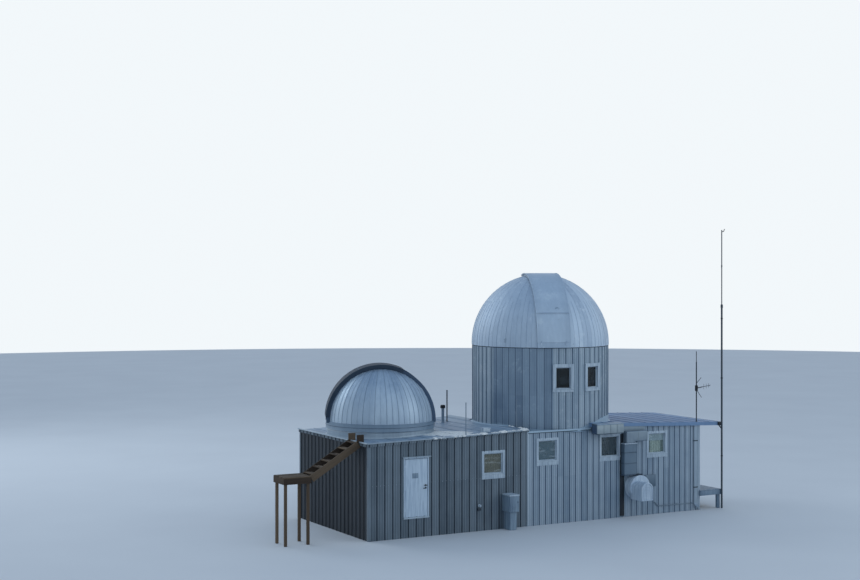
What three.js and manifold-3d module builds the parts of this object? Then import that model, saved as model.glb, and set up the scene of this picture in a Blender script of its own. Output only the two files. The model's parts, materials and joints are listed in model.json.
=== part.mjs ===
import * as THREE from 'three';
import { mergeVertices } from 'three/addons/utils/BufferGeometryUtils.js';
import Module from 'manifold-3d';

const wasm = await Module();
wasm.setup();

// A metal-clad observatory building: a low west wing with a small dome on its roof, a round
// tower with the main dome, and a low east wing with a canopy, a porch and a weather mast.
// Millimetres. X runs along the front to the right, Y into the building, Z up. The origin is
// on the round tower's axis, at the lowest ground.

// Driving dimensions: plan
const WALL = 150;
const TOWER_RADIUS = 2560;
const FRONT_Y = -TOWER_RADIUS;
const WEST_END_X = -8600;
const STEP_X = -2200;
const EAST_END_X = 5600;
const CANOPY_X = 6640;
const WEST_BACK_Y = 3040;
const EAST_BACK_Y = 1590;

// Driving dimensions: levels
const FLOOR_TOP = 650;
const DOOR_SILL = 700;
const WALL_HEAD = 3190;
const UPPER_FLOOR_TOP = 3470;
const TOWER_TOP = 6360;

// Gaps: between pieces cut to each other, and between pieces that move past each other
const SEAM = 0.3;
const RUNNING_GAP = 6;

// Roofs: the west one rises to the right, the east one falls to the right
const WEST_ROOF = { edgeTop: 3270, slope: 1 / 32, thickness: 60, overhang: 50 };
const MIDDLE_ROOF_THICKNESS = 100;
const EAST_ROOF = { edgeTop: 3320, slope: 0.04, thickness: 100, overhang: 100 };
const HIGH_ROOF_X = 530;

// The tower is a 60-sided prism: a side for each cladding rib
const TOWER_SIDES = 60;
const TOWER_INNER = TOWER_RADIUS - WALL;

// Windows, each by the outside of its trim. The front ones are placed by their centre, the
// tower's by the direction from its axis, in degrees.
const WINDOW = { width: 960, trim: 95, sill: 190, proud: 25, liner: 25, glass: 6 };
const FRONT_WINDOWS = {
  west: { x: -3652, bottom: 1805, top: 2805 },
  middle: { x: -1360, bottom: 2130, top: 3130 },
  centre: { x: 1406, bottom: 2130, top: 3130 },
  east: { x: 3580, bottom: 2130, top: 3130 },
};
const TOWER_WINDOW = { width: 812, bottom: 4750, top: 5770, trim: 120, liner: 25, proud: 45 };
const TOWER_WINDOW_ANGLES = { left: -103.9, right: -74.9 };
const TOWER_GLASS_RADIUS = 2370;
const TOWER_GLASS_MARGIN = 9.5;

// Doors
const WEST_DOOR = { left: -7200, width: 880, top: 2700, thickness: 45, frame: 55, proud: 20 };
const EAST_DOOR = {
  y: -1800, width: 900, top: 2780, frame: 80, sill: 90, setBack: 15, thickness: 45, lining: 30,
  trimThickness: 25, trimOverlap: 10,
};
const HINGE = { radius: 5.5, length: 50, gap: 12, offset: 4, strap: 30 };
const PORCH = {
  top: 740, deck: 210, y0: FRONT_Y - 100, y1: EAST_DOOR.y + EAST_DOOR.width + 200, leg: 120,
  legInset: 40,
};

// Main dome, in a frame at its sphere's centre with +X along the slit
const MAIN_DOME = {
  radius: 2600, shell: 40, base: 60, sides: 40, bands: 10, centreZ: 6440, heading: -111.9,
  slitHalf: 540, slitBack: 360, railWidth: 50, railOuter: 2605,
  shutterHalf: 625, shutterInner: 2634, shutterOuter: 2655, lip: 20, lipInner: 2585,
  shutterFrom: 26.8, shutterTo: 103, shoesAt: [30, 70], ringInner: 2400, ringOuter: 2620,
};
const LOWER_SHUTTER = { from: 3, to: 26.3, axisOut: 2663, axisUp: 130, hingeY: 450 };

// Small dome, in a frame of the same kind
const SMALL_DOME = {
  radius: 1930, shell: 30, base: -20, sides: 28, bands: 9, centreZ: 3820, heading: 156.4,
  x: -6675, y: 310,
  slitHalf: 550, slitBack: 660, railWidth: 45, railOuter: 1960,
  shutterHalf: 630, shutterInner: 1972, shutterOuter: 2032, lip: 20, lipInner: 1872,
  shutterFrom: 4, shutterTo: 114, shoesAt: [10, 110], ringInner: 1800, ringOuter: 1980,
};
const RAIL_STEP = 5;
const DOME_PLATE = 60;

// Where the west wing's short wall and the east back wall meet the inside of the tower
const RETURN_WALL_Y = Math.sqrt(TOWER_INNER ** 2 - STEP_X ** 2);
const EAST_BACK_WALL_X = Math.sqrt(TOWER_INNER ** 2 - EAST_BACK_Y ** 2);

// Materials, one function for each finish
const finish = (color, roughness, metalness) =>
  new THREE.MeshStandardMaterial({ color, roughness, metalness });
const westCladding = () => finish(0x6f7c86, 0.45, 0.7);
const eastCladding = () => finish(0x7f93ab, 0.4, 0.7);
const domeMetal = () => finish(0x98acc6, 0.35, 0.85);
const shutterMetal = () => finish(0x8ea2bc, 0.35, 0.85);
const railMetal = () => finish(0x43556b, 0.5, 0.7);
const roofSheet = () => finish(0xb4c3d2, 0.5, 0.3);
const whitePaint = () => finish(0xc4d0dd, 0.5, 0.0);
const paleSteel = () => finish(0x8d9cad, 0.45, 0.6);
const darkSteel = () => finish(0x2c343d, 0.5, 0.6);
const timber = () => finish(0x8a6d52, 0.8, 0.0);
const concrete = () => finish(0x8b8c8a, 0.9, 0.0);
const glassPane = () => finish(0x3c4238, 0.1, 0.0);

// Plane figures
const radians = (degrees) => THREE.MathUtils.degToRad(degrees);
const polar = (radius, degrees) => [
  radius * Math.cos(radians(degrees)), radius * Math.sin(radians(degrees)),
];
const outline = (points) => new THREE.Shape(points.map(([a, b]) => new THREE.Vector2(a, b)));
const rectangle = (a0, a1, b0, b1) => outline([[a0, b0], [a1, b0], [a1, b1], [a0, b1]]);

function pierced(shape, holes) {
  shape.holes.push(...holes);
  return shape;
}

function arc(radius, from, to, steps) {
  return Array.from({ length: steps + 1 }, (_, i) => polar(radius, from + (to - from) * i / steps));
}

// Solids. A figure in X and Z gets its thickness along Y, one in Y and Z along X.
const extrude = (shape, depth) =>
  new THREE.ExtrudeGeometry(shape, { depth, bevelEnabled: false, steps: 1 });

function slabXZ(shape, yFront, thickness) {
  return extrude(shape, thickness).rotateX(Math.PI / 2).translate(0, yFront + thickness, 0);
}

function slabYZ(shape, xLeft, thickness) {
  return extrude(shape, thickness).rotateX(Math.PI / 2).rotateZ(Math.PI / 2).translate(xLeft, 0, 0);
}

function slabXY(shape, zBottom, thickness) {
  return extrude(shape, thickness).translate(0, 0, zBottom);
}

function block(x0, x1, y0, y1, z0, z1) {
  return new THREE.BoxGeometry(x1 - x0, y1 - y0, z1 - z0)
    .translate((x0 + x1) / 2, (y0 + y1) / 2, (z0 + z1) / 2);
}

function post(radius, x, y, z0, z1, sides = 12) {
  return new THREE.CylinderGeometry(radius, radius, z1 - z0, sides)
    .rotateX(Math.PI / 2).translate(x, y, (z0 + z1) / 2);
}

function rodY(radius, x, z, y0, y1, sides = 12) {
  return new THREE.CylinderGeometry(radius, radius, y1 - y0, sides)
    .translate(x, (y0 + y1) / 2, z);
}

function rodX(radius, y, z, x0, x1, sides = 12) {
  return new THREE.CylinderGeometry(radius, radius, x1 - x0, sides)
    .rotateZ(Math.PI / 2).translate((x0 + x1) / 2, y, z);
}

// A profile of [radius, height] turned about Z
function turned(profile, sides) {
  const points = profile.map(([r, z]) => new THREE.Vector2(r, z));
  return new THREE.LatheGeometry(points, sides).rotateX(Math.PI / 2);
}

// Booleans
function body(geometry) {
  const bare = geometry.clone();
  bare.deleteAttribute('normal');
  bare.deleteAttribute('uv');
  const merged = mergeVertices(bare, 1e-3);
  const corners = merged.index.array;
  const triangles = [];
  for (let i = 0; i < corners.length; i += 3) {
    const [a, b, c] = [corners[i], corners[i + 1], corners[i + 2]];
    if (a !== b && b !== c && c !== a) triangles.push(a, b, c);
  }
  return new wasm.Manifold(new wasm.Mesh({
    numProp: 3,
    vertProperties: new Float32Array(merged.attributes.position.array),
    triVerts: new Uint32Array(triangles),
  }));
}

function geometryOf(solid) {
  const mesh = solid.getMesh();
  const geometry = new THREE.BufferGeometry();
  geometry.setAttribute('position', new THREE.BufferAttribute(mesh.vertProperties, 3));
  geometry.setIndex(new THREE.BufferAttribute(mesh.triVerts, 1));
  geometry.computeVertexNormals();
  return geometry;
}

const joined = (...parts) => parts.map(body).reduce((a, b) => a.add(b));
const cut = (solid, ...tools) => tools.map(body).reduce((a, b) => a.subtract(b), solid);
const kept = (solid, tool) => solid.intersect(body(tool));

// The tower's outline as a cutting tool, a seam larger than the tower
function towerCore(zBottom, zTop) {
  return post(TOWER_RADIUS + SEAM, 0, 0, zBottom, zTop, TOWER_SIDES);
}

function towerRing(outer, inner, zBottom, zTop) {
  const core = post(inner, 0, 0, zBottom - 1, zTop + 1, TOWER_SIDES);
  return cut(body(post(outer, 0, 0, zBottom, zTop, TOWER_SIDES)), core);
}

// A wedge of the plan between two directions, wide enough to hold the tower
function wedge(from, to, zBottom, zTop) {
  const reach = 2 * TOWER_RADIUS;
  const rim = arc(reach, from, to, 4);
  return slabXY(outline([[0, 0], ...rim]), zBottom, zTop - zBottom);
}

// Roof heights along the front
const westRoofTop = (x) => WEST_ROOF.edgeTop + WEST_ROOF.slope * (x - WEST_END_X);
const westRoofUnder = (x) => westRoofTop(x) - WEST_ROOF.thickness;
const westWallTop = (x) => westRoofUnder(x) - SEAM;
const eastRoofTop = (x) => EAST_ROOF.edgeTop + EAST_ROOF.slope * (CANOPY_X - x);
const eastRoofUnder = (x) => eastRoofTop(x) - EAST_ROOF.thickness;
const eastWallTop = (x) => eastRoofUnder(x) - SEAM;

const model = new THREE.Group();

function add(group, name, geometry, material) {
  const mesh = new THREE.Mesh(geometry, material);
  mesh.name = name;
  group.add(mesh);
  return mesh;
}

// West wing walls
function linerHole({ x, bottom, top }) {
  const inset = WINDOW.trim - WINDOW.liner - SEAM;
  const half = WINDOW.width / 2 - inset;
  return block(x - half, x + half, FRONT_Y - 1, FRONT_Y + WALL + 1, bottom + inset, top - inset);
}

function westFrontOutline(x0, x1, z0) {
  return outline([[x0, z0], [x1, z0], [x1, westWallTop(x1)], [x0, westWallTop(x0)]]);
}

const doorway = {
  left: WEST_DOOR.left - WEST_DOOR.frame,
  right: WEST_DOOR.left + WEST_DOOR.width + WEST_DOOR.frame,
  top: WEST_DOOR.top + WEST_DOOR.frame,
};

function westWalls() {
  const frontLeft = westFrontOutline(WEST_END_X, doorway.left, 0);
  const frontRight = slabXZ(westFrontOutline(doorway.right, STEP_X, 0), FRONT_Y, WALL);
  const lintel = westFrontOutline(doorway.left, doorway.right, doorway.top);
  const backTop = [[STEP_X, westWallTop(STEP_X)], [WEST_END_X, westWallTop(WEST_END_X)]];
  const back = outline([[WEST_END_X, 0], [STEP_X, 0], ...backTop]);
  const end = rectangle(FRONT_Y + WALL, WEST_BACK_Y - WALL, 0, westWallTop(WEST_END_X));
  const returnTop = westWallTop(STEP_X - WALL);
  const returnWall = slabYZ(
    rectangle(RETURN_WALL_Y, WEST_BACK_Y - WALL, 0, returnTop), STEP_X - WALL, WALL);
  add(model, 'west_front_wall_left', slabXZ(frontLeft, FRONT_Y, WALL), westCladding());
  add(model, 'west_front_wall_right',
    geometryOf(cut(body(frontRight), linerHole(FRONT_WINDOWS.west))), westCladding());
  add(model, 'west_door_lintel', slabXZ(lintel, FRONT_Y, WALL), westCladding());
  add(model, 'west_door_threshold',
    block(doorway.left, doorway.right, FRONT_Y, FRONT_Y + WALL, 0, DOOR_SILL), westCladding());
  add(model, 'west_end_wall', slabYZ(end, WEST_END_X, WALL), westCladding());
  add(model, 'west_back_wall', slabXZ(back, WEST_BACK_Y - WALL, WALL), westCladding());
  add(model, 'west_return_wall',
    geometryOf(cut(body(returnWall), towerCore(WALL_HEAD, UPPER_FLOOR_TOP))), westCladding());
}

// Middle and east wing walls
function eastWalls() {
  const front = outline([
    [STEP_X, 0], [EAST_END_X, 0], [EAST_END_X, eastWallTop(EAST_END_X)],
    [HIGH_ROOF_X, eastWallTop(HIGH_ROOF_X)], [HIGH_ROOF_X, WALL_HEAD], [STEP_X, WALL_HEAD],
  ]);
  const windows = [FRONT_WINDOWS.middle, FRONT_WINDOWS.centre, FRONT_WINDOWS.east];
  const frontWall = cut(
    body(slabXZ(front, FRONT_Y, WALL)), towerCore(WALL_HEAD, TOWER_TOP), ...windows.map(linerHole));
  const end = outline([
    [FRONT_Y + WALL, 0], [EAST_DOOR.y, 0], [EAST_DOOR.y, EAST_DOOR.top],
    [EAST_DOOR.y + EAST_DOOR.width, EAST_DOOR.top], [EAST_DOOR.y + EAST_DOOR.width, 0],
    [EAST_BACK_Y - WALL, 0], [EAST_BACK_Y - WALL, eastWallTop(EAST_END_X)],
    [FRONT_Y + WALL, eastWallTop(EAST_END_X)],
  ]);
  const back = outline([
    [EAST_BACK_WALL_X, 0], [EAST_END_X, 0], [EAST_END_X, eastWallTop(EAST_END_X)],
    [EAST_BACK_WALL_X, eastWallTop(EAST_BACK_WALL_X)],
  ]);
  const backWall = cut(body(slabXZ(back, EAST_BACK_Y - WALL, WALL)), towerCore(-1, TOWER_TOP));
  add(model, 'east_front_wall', geometryOf(frontWall), eastCladding());
  add(model, 'east_end_wall', slabYZ(end, EAST_END_X - WALL, WALL), eastCladding());
  add(model, 'east_back_wall', geometryOf(backWall), eastCladding());
}

// The tower: a round wall down to the ground behind, and all round above the low roofs
function towerWalls() {
  const lowerRing = towerRing(TOWER_RADIUS, TOWER_INNER, 0, WALL_HEAD);
  const reach = 2 * TOWER_RADIUS;
  const behindWest = block(STEP_X + SEAM, 0, RETURN_WALL_Y, reach, -1, WALL_HEAD + 1);
  const behindEast = block(0, reach, EAST_BACK_Y - WALL, reach, -1, WALL_HEAD + 1);
  add(model, 'tower_lower_wall',
    geometryOf(kept(lowerRing, behindWest).add(kept(lowerRing, behindEast))), eastCladding());

  const upper = { front: [-150, -30], right: [-30, 90], left: [90, 210] };
  for (const [side, [from, to]] of Object.entries(upper)) {
    const ring = towerRing(TOWER_RADIUS, TOWER_INNER, UPPER_FLOOR_TOP, TOWER_TOP);
    let wall = kept(ring, wedge(from, to, UPPER_FLOOR_TOP - 1, TOWER_TOP + 1));
    if (side === 'front') wall = cut(wall, ...Object.values(TOWER_WINDOW_ANGLES).map(towerWindowHole));
    add(model, `tower_upper_wall_${side}`, geometryOf(wall), eastCladding());
  }
}

// A block set radially in the tower wall: distances from the axis, half width and heights
function radialBlock(degrees, near, far, halfWidth, z0, z1) {
  return block(near, far, -halfWidth, halfWidth, z0, z1).rotateZ(radians(degrees));
}

function towerWindowHole(degrees) {
  const { width, bottom, top, trim, liner } = TOWER_WINDOW;
  const inset = trim - liner - SEAM;
  return radialBlock(degrees, TOWER_INNER - 200, TOWER_RADIUS + 200,
    width / 2 - inset, bottom + inset, top - inset);
}

function towerWindowFrame(degrees) {
  const { width, bottom, top, trim, liner, proud } = TOWER_WINDOW;
  const face = TOWER_RADIUS + proud;
  const plate = cut(
    body(radialBlock(degrees, TOWER_RADIUS - 100, face, width / 2, bottom, top)),
    towerCore(bottom - 1, top + 1));
  const inset = trim - liner;
  const sleeve = cut(
    body(radialBlock(degrees, TOWER_GLASS_RADIUS - 100, face, width / 2 - inset,
      bottom + inset, top - inset)),
    post(TOWER_GLASS_RADIUS + SEAM, 0, 0, bottom, top, TOWER_SIDES));
  const light = radialBlock(degrees, TOWER_GLASS_RADIUS - 200, face + 10, width / 2 - trim,
    bottom + trim, top - trim);
  return geometryOf(cut(plate.add(sleeve), light));
}

function frontWindowFrame({ x, bottom, top }) {
  const { width, trim, sill, proud, liner } = WINDOW;
  const half = width / 2;
  const light = rectangle(x - half + trim, x + half - trim, bottom + sill, top - trim);
  const plate = pierced(rectangle(x - half, x + half, bottom, top), [light]);
  const inset = trim - liner;
  const sleeve = pierced(
    rectangle(x - half + inset, x + half - inset, bottom + inset, top - inset), [light.clone()]);
  return geometryOf(joined(
    slabXZ(plate, FRONT_Y - proud, proud), slabXZ(sleeve, FRONT_Y - proud / 2, WALL + proud / 2)));
}

function windows() {
  for (const [place, window] of Object.entries(FRONT_WINDOWS)) {
    add(model, `window_frame_${place}`, frontWindowFrame(window), whitePaint());
  }
  for (const [place, degrees] of Object.entries(TOWER_WINDOW_ANGLES)) {
    add(model, `tower_window_frame_${place}`, towerWindowFrame(degrees), whitePaint());
  }
  const { west, middle, east } = FRONT_WINDOWS;
  const reach = WINDOW.width / 2 - WINDOW.trim / 2;
  add(model, 'front_window_glass', block(
    west.x - reach, east.x + reach, FRONT_Y + WALL + SEAM, FRONT_Y + WALL + WINDOW.glass,
    west.bottom + WINDOW.trim / 2, middle.top - WINDOW.trim / 2), glassPane());
  const sheet = towerRing(TOWER_GLASS_RADIUS, TOWER_GLASS_RADIUS - WINDOW.glass,
    TOWER_WINDOW.bottom + TOWER_WINDOW.trim / 2, TOWER_WINDOW.top - TOWER_WINDOW.trim / 2);
  const { left, right } = TOWER_WINDOW_ANGLES;
  const spread = wedge(left - TOWER_GLASS_MARGIN, right + TOWER_GLASS_MARGIN,
    TOWER_WINDOW.bottom, TOWER_WINDOW.top);
  add(model, 'tower_window_glass', geometryOf(kept(sheet, spread)), glassPane());
}

// Floors
function floors() {
  const westEdge = WEST_END_X + WALL;
  const eastEdge = EAST_END_X - WALL;
  const front = FRONT_Y + WALL;
  const plan = outline([
    [westEdge, front], [eastEdge, front], [eastEdge, EAST_BACK_Y - WALL],
    [0, EAST_BACK_Y - WALL], [0, 0], [STEP_X, 0], [STEP_X, RETURN_WALL_Y - SEAM],
    [STEP_X - WALL, RETURN_WALL_Y - SEAM], [STEP_X - WALL, WEST_BACK_Y - WALL],
    [westEdge, WEST_BACK_Y - WALL],
  ]);
  const drum = post(TOWER_INNER - SEAM, 0, 0, 0, FLOOR_TOP, TOWER_SIDES);
  const bay = kept(body(drum), block(
    STEP_X, TOWER_RADIUS, FRONT_Y + WALL, TOWER_RADIUS, -1, FLOOR_TOP + 1));
  const slab = body(slabXY(plan, 0, FLOOR_TOP)).add(bay);
  add(model, 'ground_floor', geometryOf(slab), concrete());
  add(model, 'tower_floor',
    post(TOWER_RADIUS, 0, 0, WALL_HEAD, UPPER_FLOOR_TOP, TOWER_SIDES), concrete());
}

// Roofs
function roofs() {
  const over = WEST_ROOF.overhang;
  const westProfile = outline([
    [WEST_END_X - over, westRoofUnder(WEST_END_X - over)], [STEP_X, westRoofUnder(STEP_X)],
    [STEP_X, westRoofTop(STEP_X)], [WEST_END_X - over, westRoofTop(WEST_END_X - over)],
  ]);
  const west = slabXZ(westProfile, FRONT_Y - over, WEST_BACK_Y - FRONT_Y + 2 * over);
  add(model, 'west_roof',
    geometryOf(cut(body(west), towerCore(0, TOWER_TOP), smallDomeWell())), roofSheet());

  const front = FRONT_Y - EAST_ROOF.overhang;
  const middle = block(
    STEP_X, HIGH_ROOF_X, front, 0, WALL_HEAD, WALL_HEAD + MIDDLE_ROOF_THICKNESS);
  add(model, 'middle_roof', geometryOf(cut(body(middle), towerCore(0, TOWER_TOP))), roofSheet());

  const eastProfile = outline([
    [HIGH_ROOF_X, eastRoofUnder(HIGH_ROOF_X)], [CANOPY_X, eastRoofUnder(CANOPY_X)],
    [CANOPY_X, eastRoofTop(CANOPY_X)], [HIGH_ROOF_X, eastRoofTop(HIGH_ROOF_X)],
  ]);
  const east = slabXZ(eastProfile, front, EAST_BACK_Y + over - front);
  add(model, 'east_roof', geometryOf(cut(body(east), towerCore(0, TOWER_TOP))), roofSheet());
}

// Tracks for the two domes: a ring with a circle of rollers, a seam below the turning ring
const CURB = { outer: 1925, inner: 1720, top: 3700 };
const ROLLER = { count: 12, width: 60, length: 90, sunk: 5 };
const MAIN_TRACK = { top: TOWER_TOP + 40, outer: TOWER_RADIUS - 10 };

function smallDomeWell() {
  return post(CURB.inner, SMALL_DOME.x, SMALL_DOME.y, 0, TOWER_TOP, TOWER_SIDES);
}

function rollers(radius, z0, z1) {
  return Array.from({ length: ROLLER.count }, (_, i) => {
    const half = ROLLER.length / 2;
    return block(radius - ROLLER.width / 2, radius + ROLLER.width / 2, -half, half, z0, z1)
      .rotateZ(radians(i * 360 / ROLLER.count));
  });
}

function tracks() {
  const ring = towerRing(MAIN_TRACK.outer, TOWER_INNER, TOWER_TOP, MAIN_TRACK.top);
  const mainTrack = rollers(
    (TOWER_RADIUS + TOWER_INNER) / 2, MAIN_TRACK.top - ROLLER.sunk, MAIN_DOME.centreZ - SEAM)
    .reduce((track, roller) => track.add(body(roller)), ring);
  add(model, 'main_dome_track', geometryOf(mainTrack), paleSteel());

  const ringUnderside = SMALL_DOME.centreZ + SMALL_DOME.base - DOME_PLATE;
  const foot = WALL_HEAD - WALL;
  const curb = body(turned([
    [CURB.inner, foot], [CURB.outer, foot], [CURB.outer, CURB.top], [CURB.inner, CURB.top],
    [CURB.inner, foot],
  ], TOWER_SIDES));
  const curbWithRollers = rollers(
    (CURB.inner + CURB.outer) / 2, CURB.top - ROLLER.sunk, ringUnderside - SEAM)
    .reduce((track, roller) => track.add(body(roller)), curb)
    .translate(SMALL_DOME.x, SMALL_DOME.y, 0);
  const west = WEST_END_X - WALL;
  const below = slabXZ(outline([
    [west, foot - WALL], [STEP_X, foot - WALL], [STEP_X, westRoofTop(STEP_X) + SEAM],
    [west, westRoofTop(west) + SEAM],
  ]), FRONT_Y, WEST_BACK_Y - FRONT_Y);
  add(model, 'small_dome_curb', geometryOf(cut(curbWithRollers, below)), paleSteel());
}

// Domes. Heights and distances are in the dome's own frame.
function ballCap(radius, base, sides, bands) {
  const start = Math.asin(base / radius) * 180 / Math.PI;
  const rim = arc(radius, start, 90, bands).slice(0, -1);
  return turned([[0, base], ...rim, [0, radius]], sides);
}

function domeShell(dome) {
  const outer = body(ballCap(dome.radius, dome.base + SEAM, dome.sides, dome.bands));
  const inner = ballCap(
    dome.radius - dome.shell, dome.base - DOME_PLATE, dome.sides, dome.bands);
  const slit = block(-dome.slitBack, 2 * dome.radius, -dome.slitHalf, dome.slitHalf,
    dome.base - DOME_PLATE, 2 * dome.radius);
  return geometryOf(cut(outer, inner, slit));
}

// A band of the slit plane between two radii, from one elevation to another
function archBand(inner, outer, from, to, y0, y1) {
  const steps = Math.max(1, Math.round((to - from) / RAIL_STEP));
  const band = outline([...arc(outer, from, to, steps), ...arc(inner, from, to, steps).reverse()]);
  return slabXZ(band, y0, y1 - y0);
}

function rails(dome) {
  const near = dome.slitHalf;
  const far = near + dome.railWidth;
  const inner = Math.sqrt(dome.radius ** 2 - near ** 2) / Math.cos(radians(RAIL_STEP / 2)) + SEAM;
  return [[near, far], [-far, -near]].map(([y0, y1]) =>
    archBand(inner, dome.railOuter, -RAIL_STEP, 180 + RAIL_STEP, y0, y1));
}

function domeRing(dome, skirtInner, skirtBottom) {
  const top = dome.base;
  const under = top - DOME_PLATE;
  return body(turned([
    [dome.ringInner, under], [skirtInner, under], [skirtInner, skirtBottom],
    [dome.ringOuter, skirtBottom], [dome.ringOuter, top], [dome.ringInner, top],
    [dome.ringInner, under],
  ], TOWER_SIDES));
}

// The two arched rails, cut off level at a height
function railArches(dome, floor) {
  const reach = 2 * dome.radius;
  const floorCut = block(-reach, reach, -reach, reach, floor - reach, floor);
  return rails(dome).map((rail) => cut(body(rail), floorCut));
}

function shutterSheet(dome, from, to) {
  const { shutterHalf, shutterInner, shutterOuter } = dome;
  return archBand(shutterInner, shutterOuter, from, to, -shutterHalf, shutterHalf);
}

// The turned-down sides of a shutter, up to a radius
function shutterLips(dome, from, to, top) {
  const { shutterHalf, lip, lipInner } = dome;
  return [[shutterHalf - lip, shutterHalf], [-shutterHalf, lip - shutterHalf]]
    .map(([y0, y1]) => archBand(lipInner, top, from, to, y0, y1));
}

function shutter(dome, from, to) {
  return joined(shutterSheet(dome, from, to), ...shutterLips(dome, from, to, dome.shutterOuter));
}

// Guide shoes that carry an up-and-over shutter on the rails, two on each side
const SHOE = { halfLength: 30, sideGap: 5, sunk: 10 };

function guideShoes(dome) {
  const centre = dome.slitHalf + dome.railWidth / 2;
  const half = dome.railWidth / 2 - SHOE.sideGap;
  return dome.shoesAt.flatMap((elevation) => [-centre, centre].map((y) =>
    block(dome.railOuter + SEAM, dome.shutterInner + SHOE.sunk, y - half, y + half,
      -SHOE.halfLength, SHOE.halfLength).rotateY(-radians(elevation))));
}

function onShoes(panel, dome) {
  return geometryOf(joined(panel, ...guideShoes(dome)));
}

// The lower shutter drops outwards on two hinges carried by brackets on the dome's ring
const BARREL = { radius: 6, length: 40 };
const MAIN_SKIRT = { inner: TOWER_RADIUS + 35, bottom: -70 };
const SMALL_SKIRT = { inner: CURB.outer + 20, bottom: -280 };

function hingeBarrel(y0, y1) {
  return rodY(BARREL.radius, LOWER_SHUTTER.axisOut, LOWER_SHUTTER.axisUp, y0, y1);
}

function lowerShutter(dome) {
  const { from, to, axisOut, axisUp, hingeY } = LOWER_SHUTTER;
  const leaf = shutter(dome, from, to);
  return geometryOf([-hingeY, hingeY].reduce((panel, y) => panel
    .add(body(hingeBarrel(y + SEAM, y + BARREL.length)))
    .add(body(block(axisOut - 20, axisOut + 5, y + SEAM, y + BARREL.length, axisUp, axisUp + 40))),
  leaf));
}

function mainDomeFrame(dome) {
  const { axisOut, axisUp, hingeY } = LOWER_SHUTTER;
  const frame = domeRing(dome, MAIN_SKIRT.inner, MAIN_SKIRT.bottom);
  return geometryOf([-hingeY, hingeY].reduce((ring, y) => ring
    .add(body(hingeBarrel(y - BARREL.length, y)))
    .add(body(block(axisOut - 100, axisOut + BARREL.radius, y - BARREL.length, y,
      dome.base - 30, axisUp - 2))), frame));
}

function domes() {
  const main = new THREE.Group();
  main.position.set(0, 0, MAIN_DOME.centreZ);
  main.rotation.z = radians(MAIN_DOME.heading);
  add(main, 'main_dome_frame', mainDomeFrame(MAIN_DOME), railMetal());
  add(main, 'main_dome_shell', domeShell(MAIN_DOME), domeMetal());
  const { shutterFrom, shutterTo, shutterInner } = MAIN_DOME;
  const upperSheet = shutterSheet(MAIN_DOME, shutterFrom, shutterTo);
  add(main, 'main_upper_shutter', onShoes(upperSheet, MAIN_DOME), shutterMetal());
  const arches = railArches(MAIN_DOME, MAIN_DOME.base + SEAM);
  const lips = shutterLips(MAIN_DOME, shutterFrom, shutterTo, shutterInner - SEAM);
  ['right', 'left'].forEach((side, i) => {
    add(main, `main_dome_rail_${side}`, geometryOf(arches[i]), railMetal());
    add(main, `main_upper_shutter_lip_${side}`, lips[i], shutterMetal());
  });
  add(main, 'main_lower_shutter', lowerShutter(MAIN_DOME), shutterMetal());
  model.add(main);

  const small = new THREE.Group();
  small.position.set(SMALL_DOME.x, SMALL_DOME.y, SMALL_DOME.centreZ);
  small.rotation.z = radians(SMALL_DOME.heading);
  const ring = domeRing(SMALL_DOME, SMALL_SKIRT.inner, SMALL_SKIRT.bottom);
  const frame = railArches(SMALL_DOME, SMALL_DOME.base - DOME_PLATE)
    .reduce((whole, arch) => whole.add(arch), ring);
  add(small, 'small_dome_frame', geometryOf(frame), railMetal());
  add(small, 'small_dome_shell', domeShell(SMALL_DOME), domeMetal());
  const sheet = shutter(SMALL_DOME, SMALL_DOME.shutterFrom, SMALL_DOME.shutterTo);
  add(small, 'small_shutter', onShoes(geometryOf(sheet), SMALL_DOME), railMetal());
  model.add(small);
}

// West door: a flush leaf that swings out on three hinges in a steel frame, with a lever on a
// round rose and a deadbolt above it
const LEVER = {
  fromEdge: 70, above: 980, rose: 26, roseDepth: 12, spindle: 10, reach: 120, tail: 12,
  thickness: 16, standOff: 46, boltAbove: 70,
};
const DOOR_STOP = 15;
const hingeHeights = [DOOR_SILL + 250, DOOR_SILL + 1000, WEST_DOOR.top - 250];
const leafFront = FRONT_Y - WEST_DOOR.proud;
const hingeAxis = { x: WEST_DOOR.left - HINGE.gap / 2, y: leafFront - HINGE.offset };

function doorHinge(z, side) {
  const { x, y } = hingeAxis;
  const span = side > 0 ? [x, x + HINGE.gap / 2 + HINGE.strap] : [x - HINGE.gap / 2 - HINGE.strap, x];
  const from = side > 0 ? z + SEAM : z - HINGE.length;
  const to = side > 0 ? z + HINGE.length : z;
  return joined(post(HINGE.radius, x, y, from, to),
    block(span[0], span[1], y - 2, y + HINGE.offset + 1, from, to));
}

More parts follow.
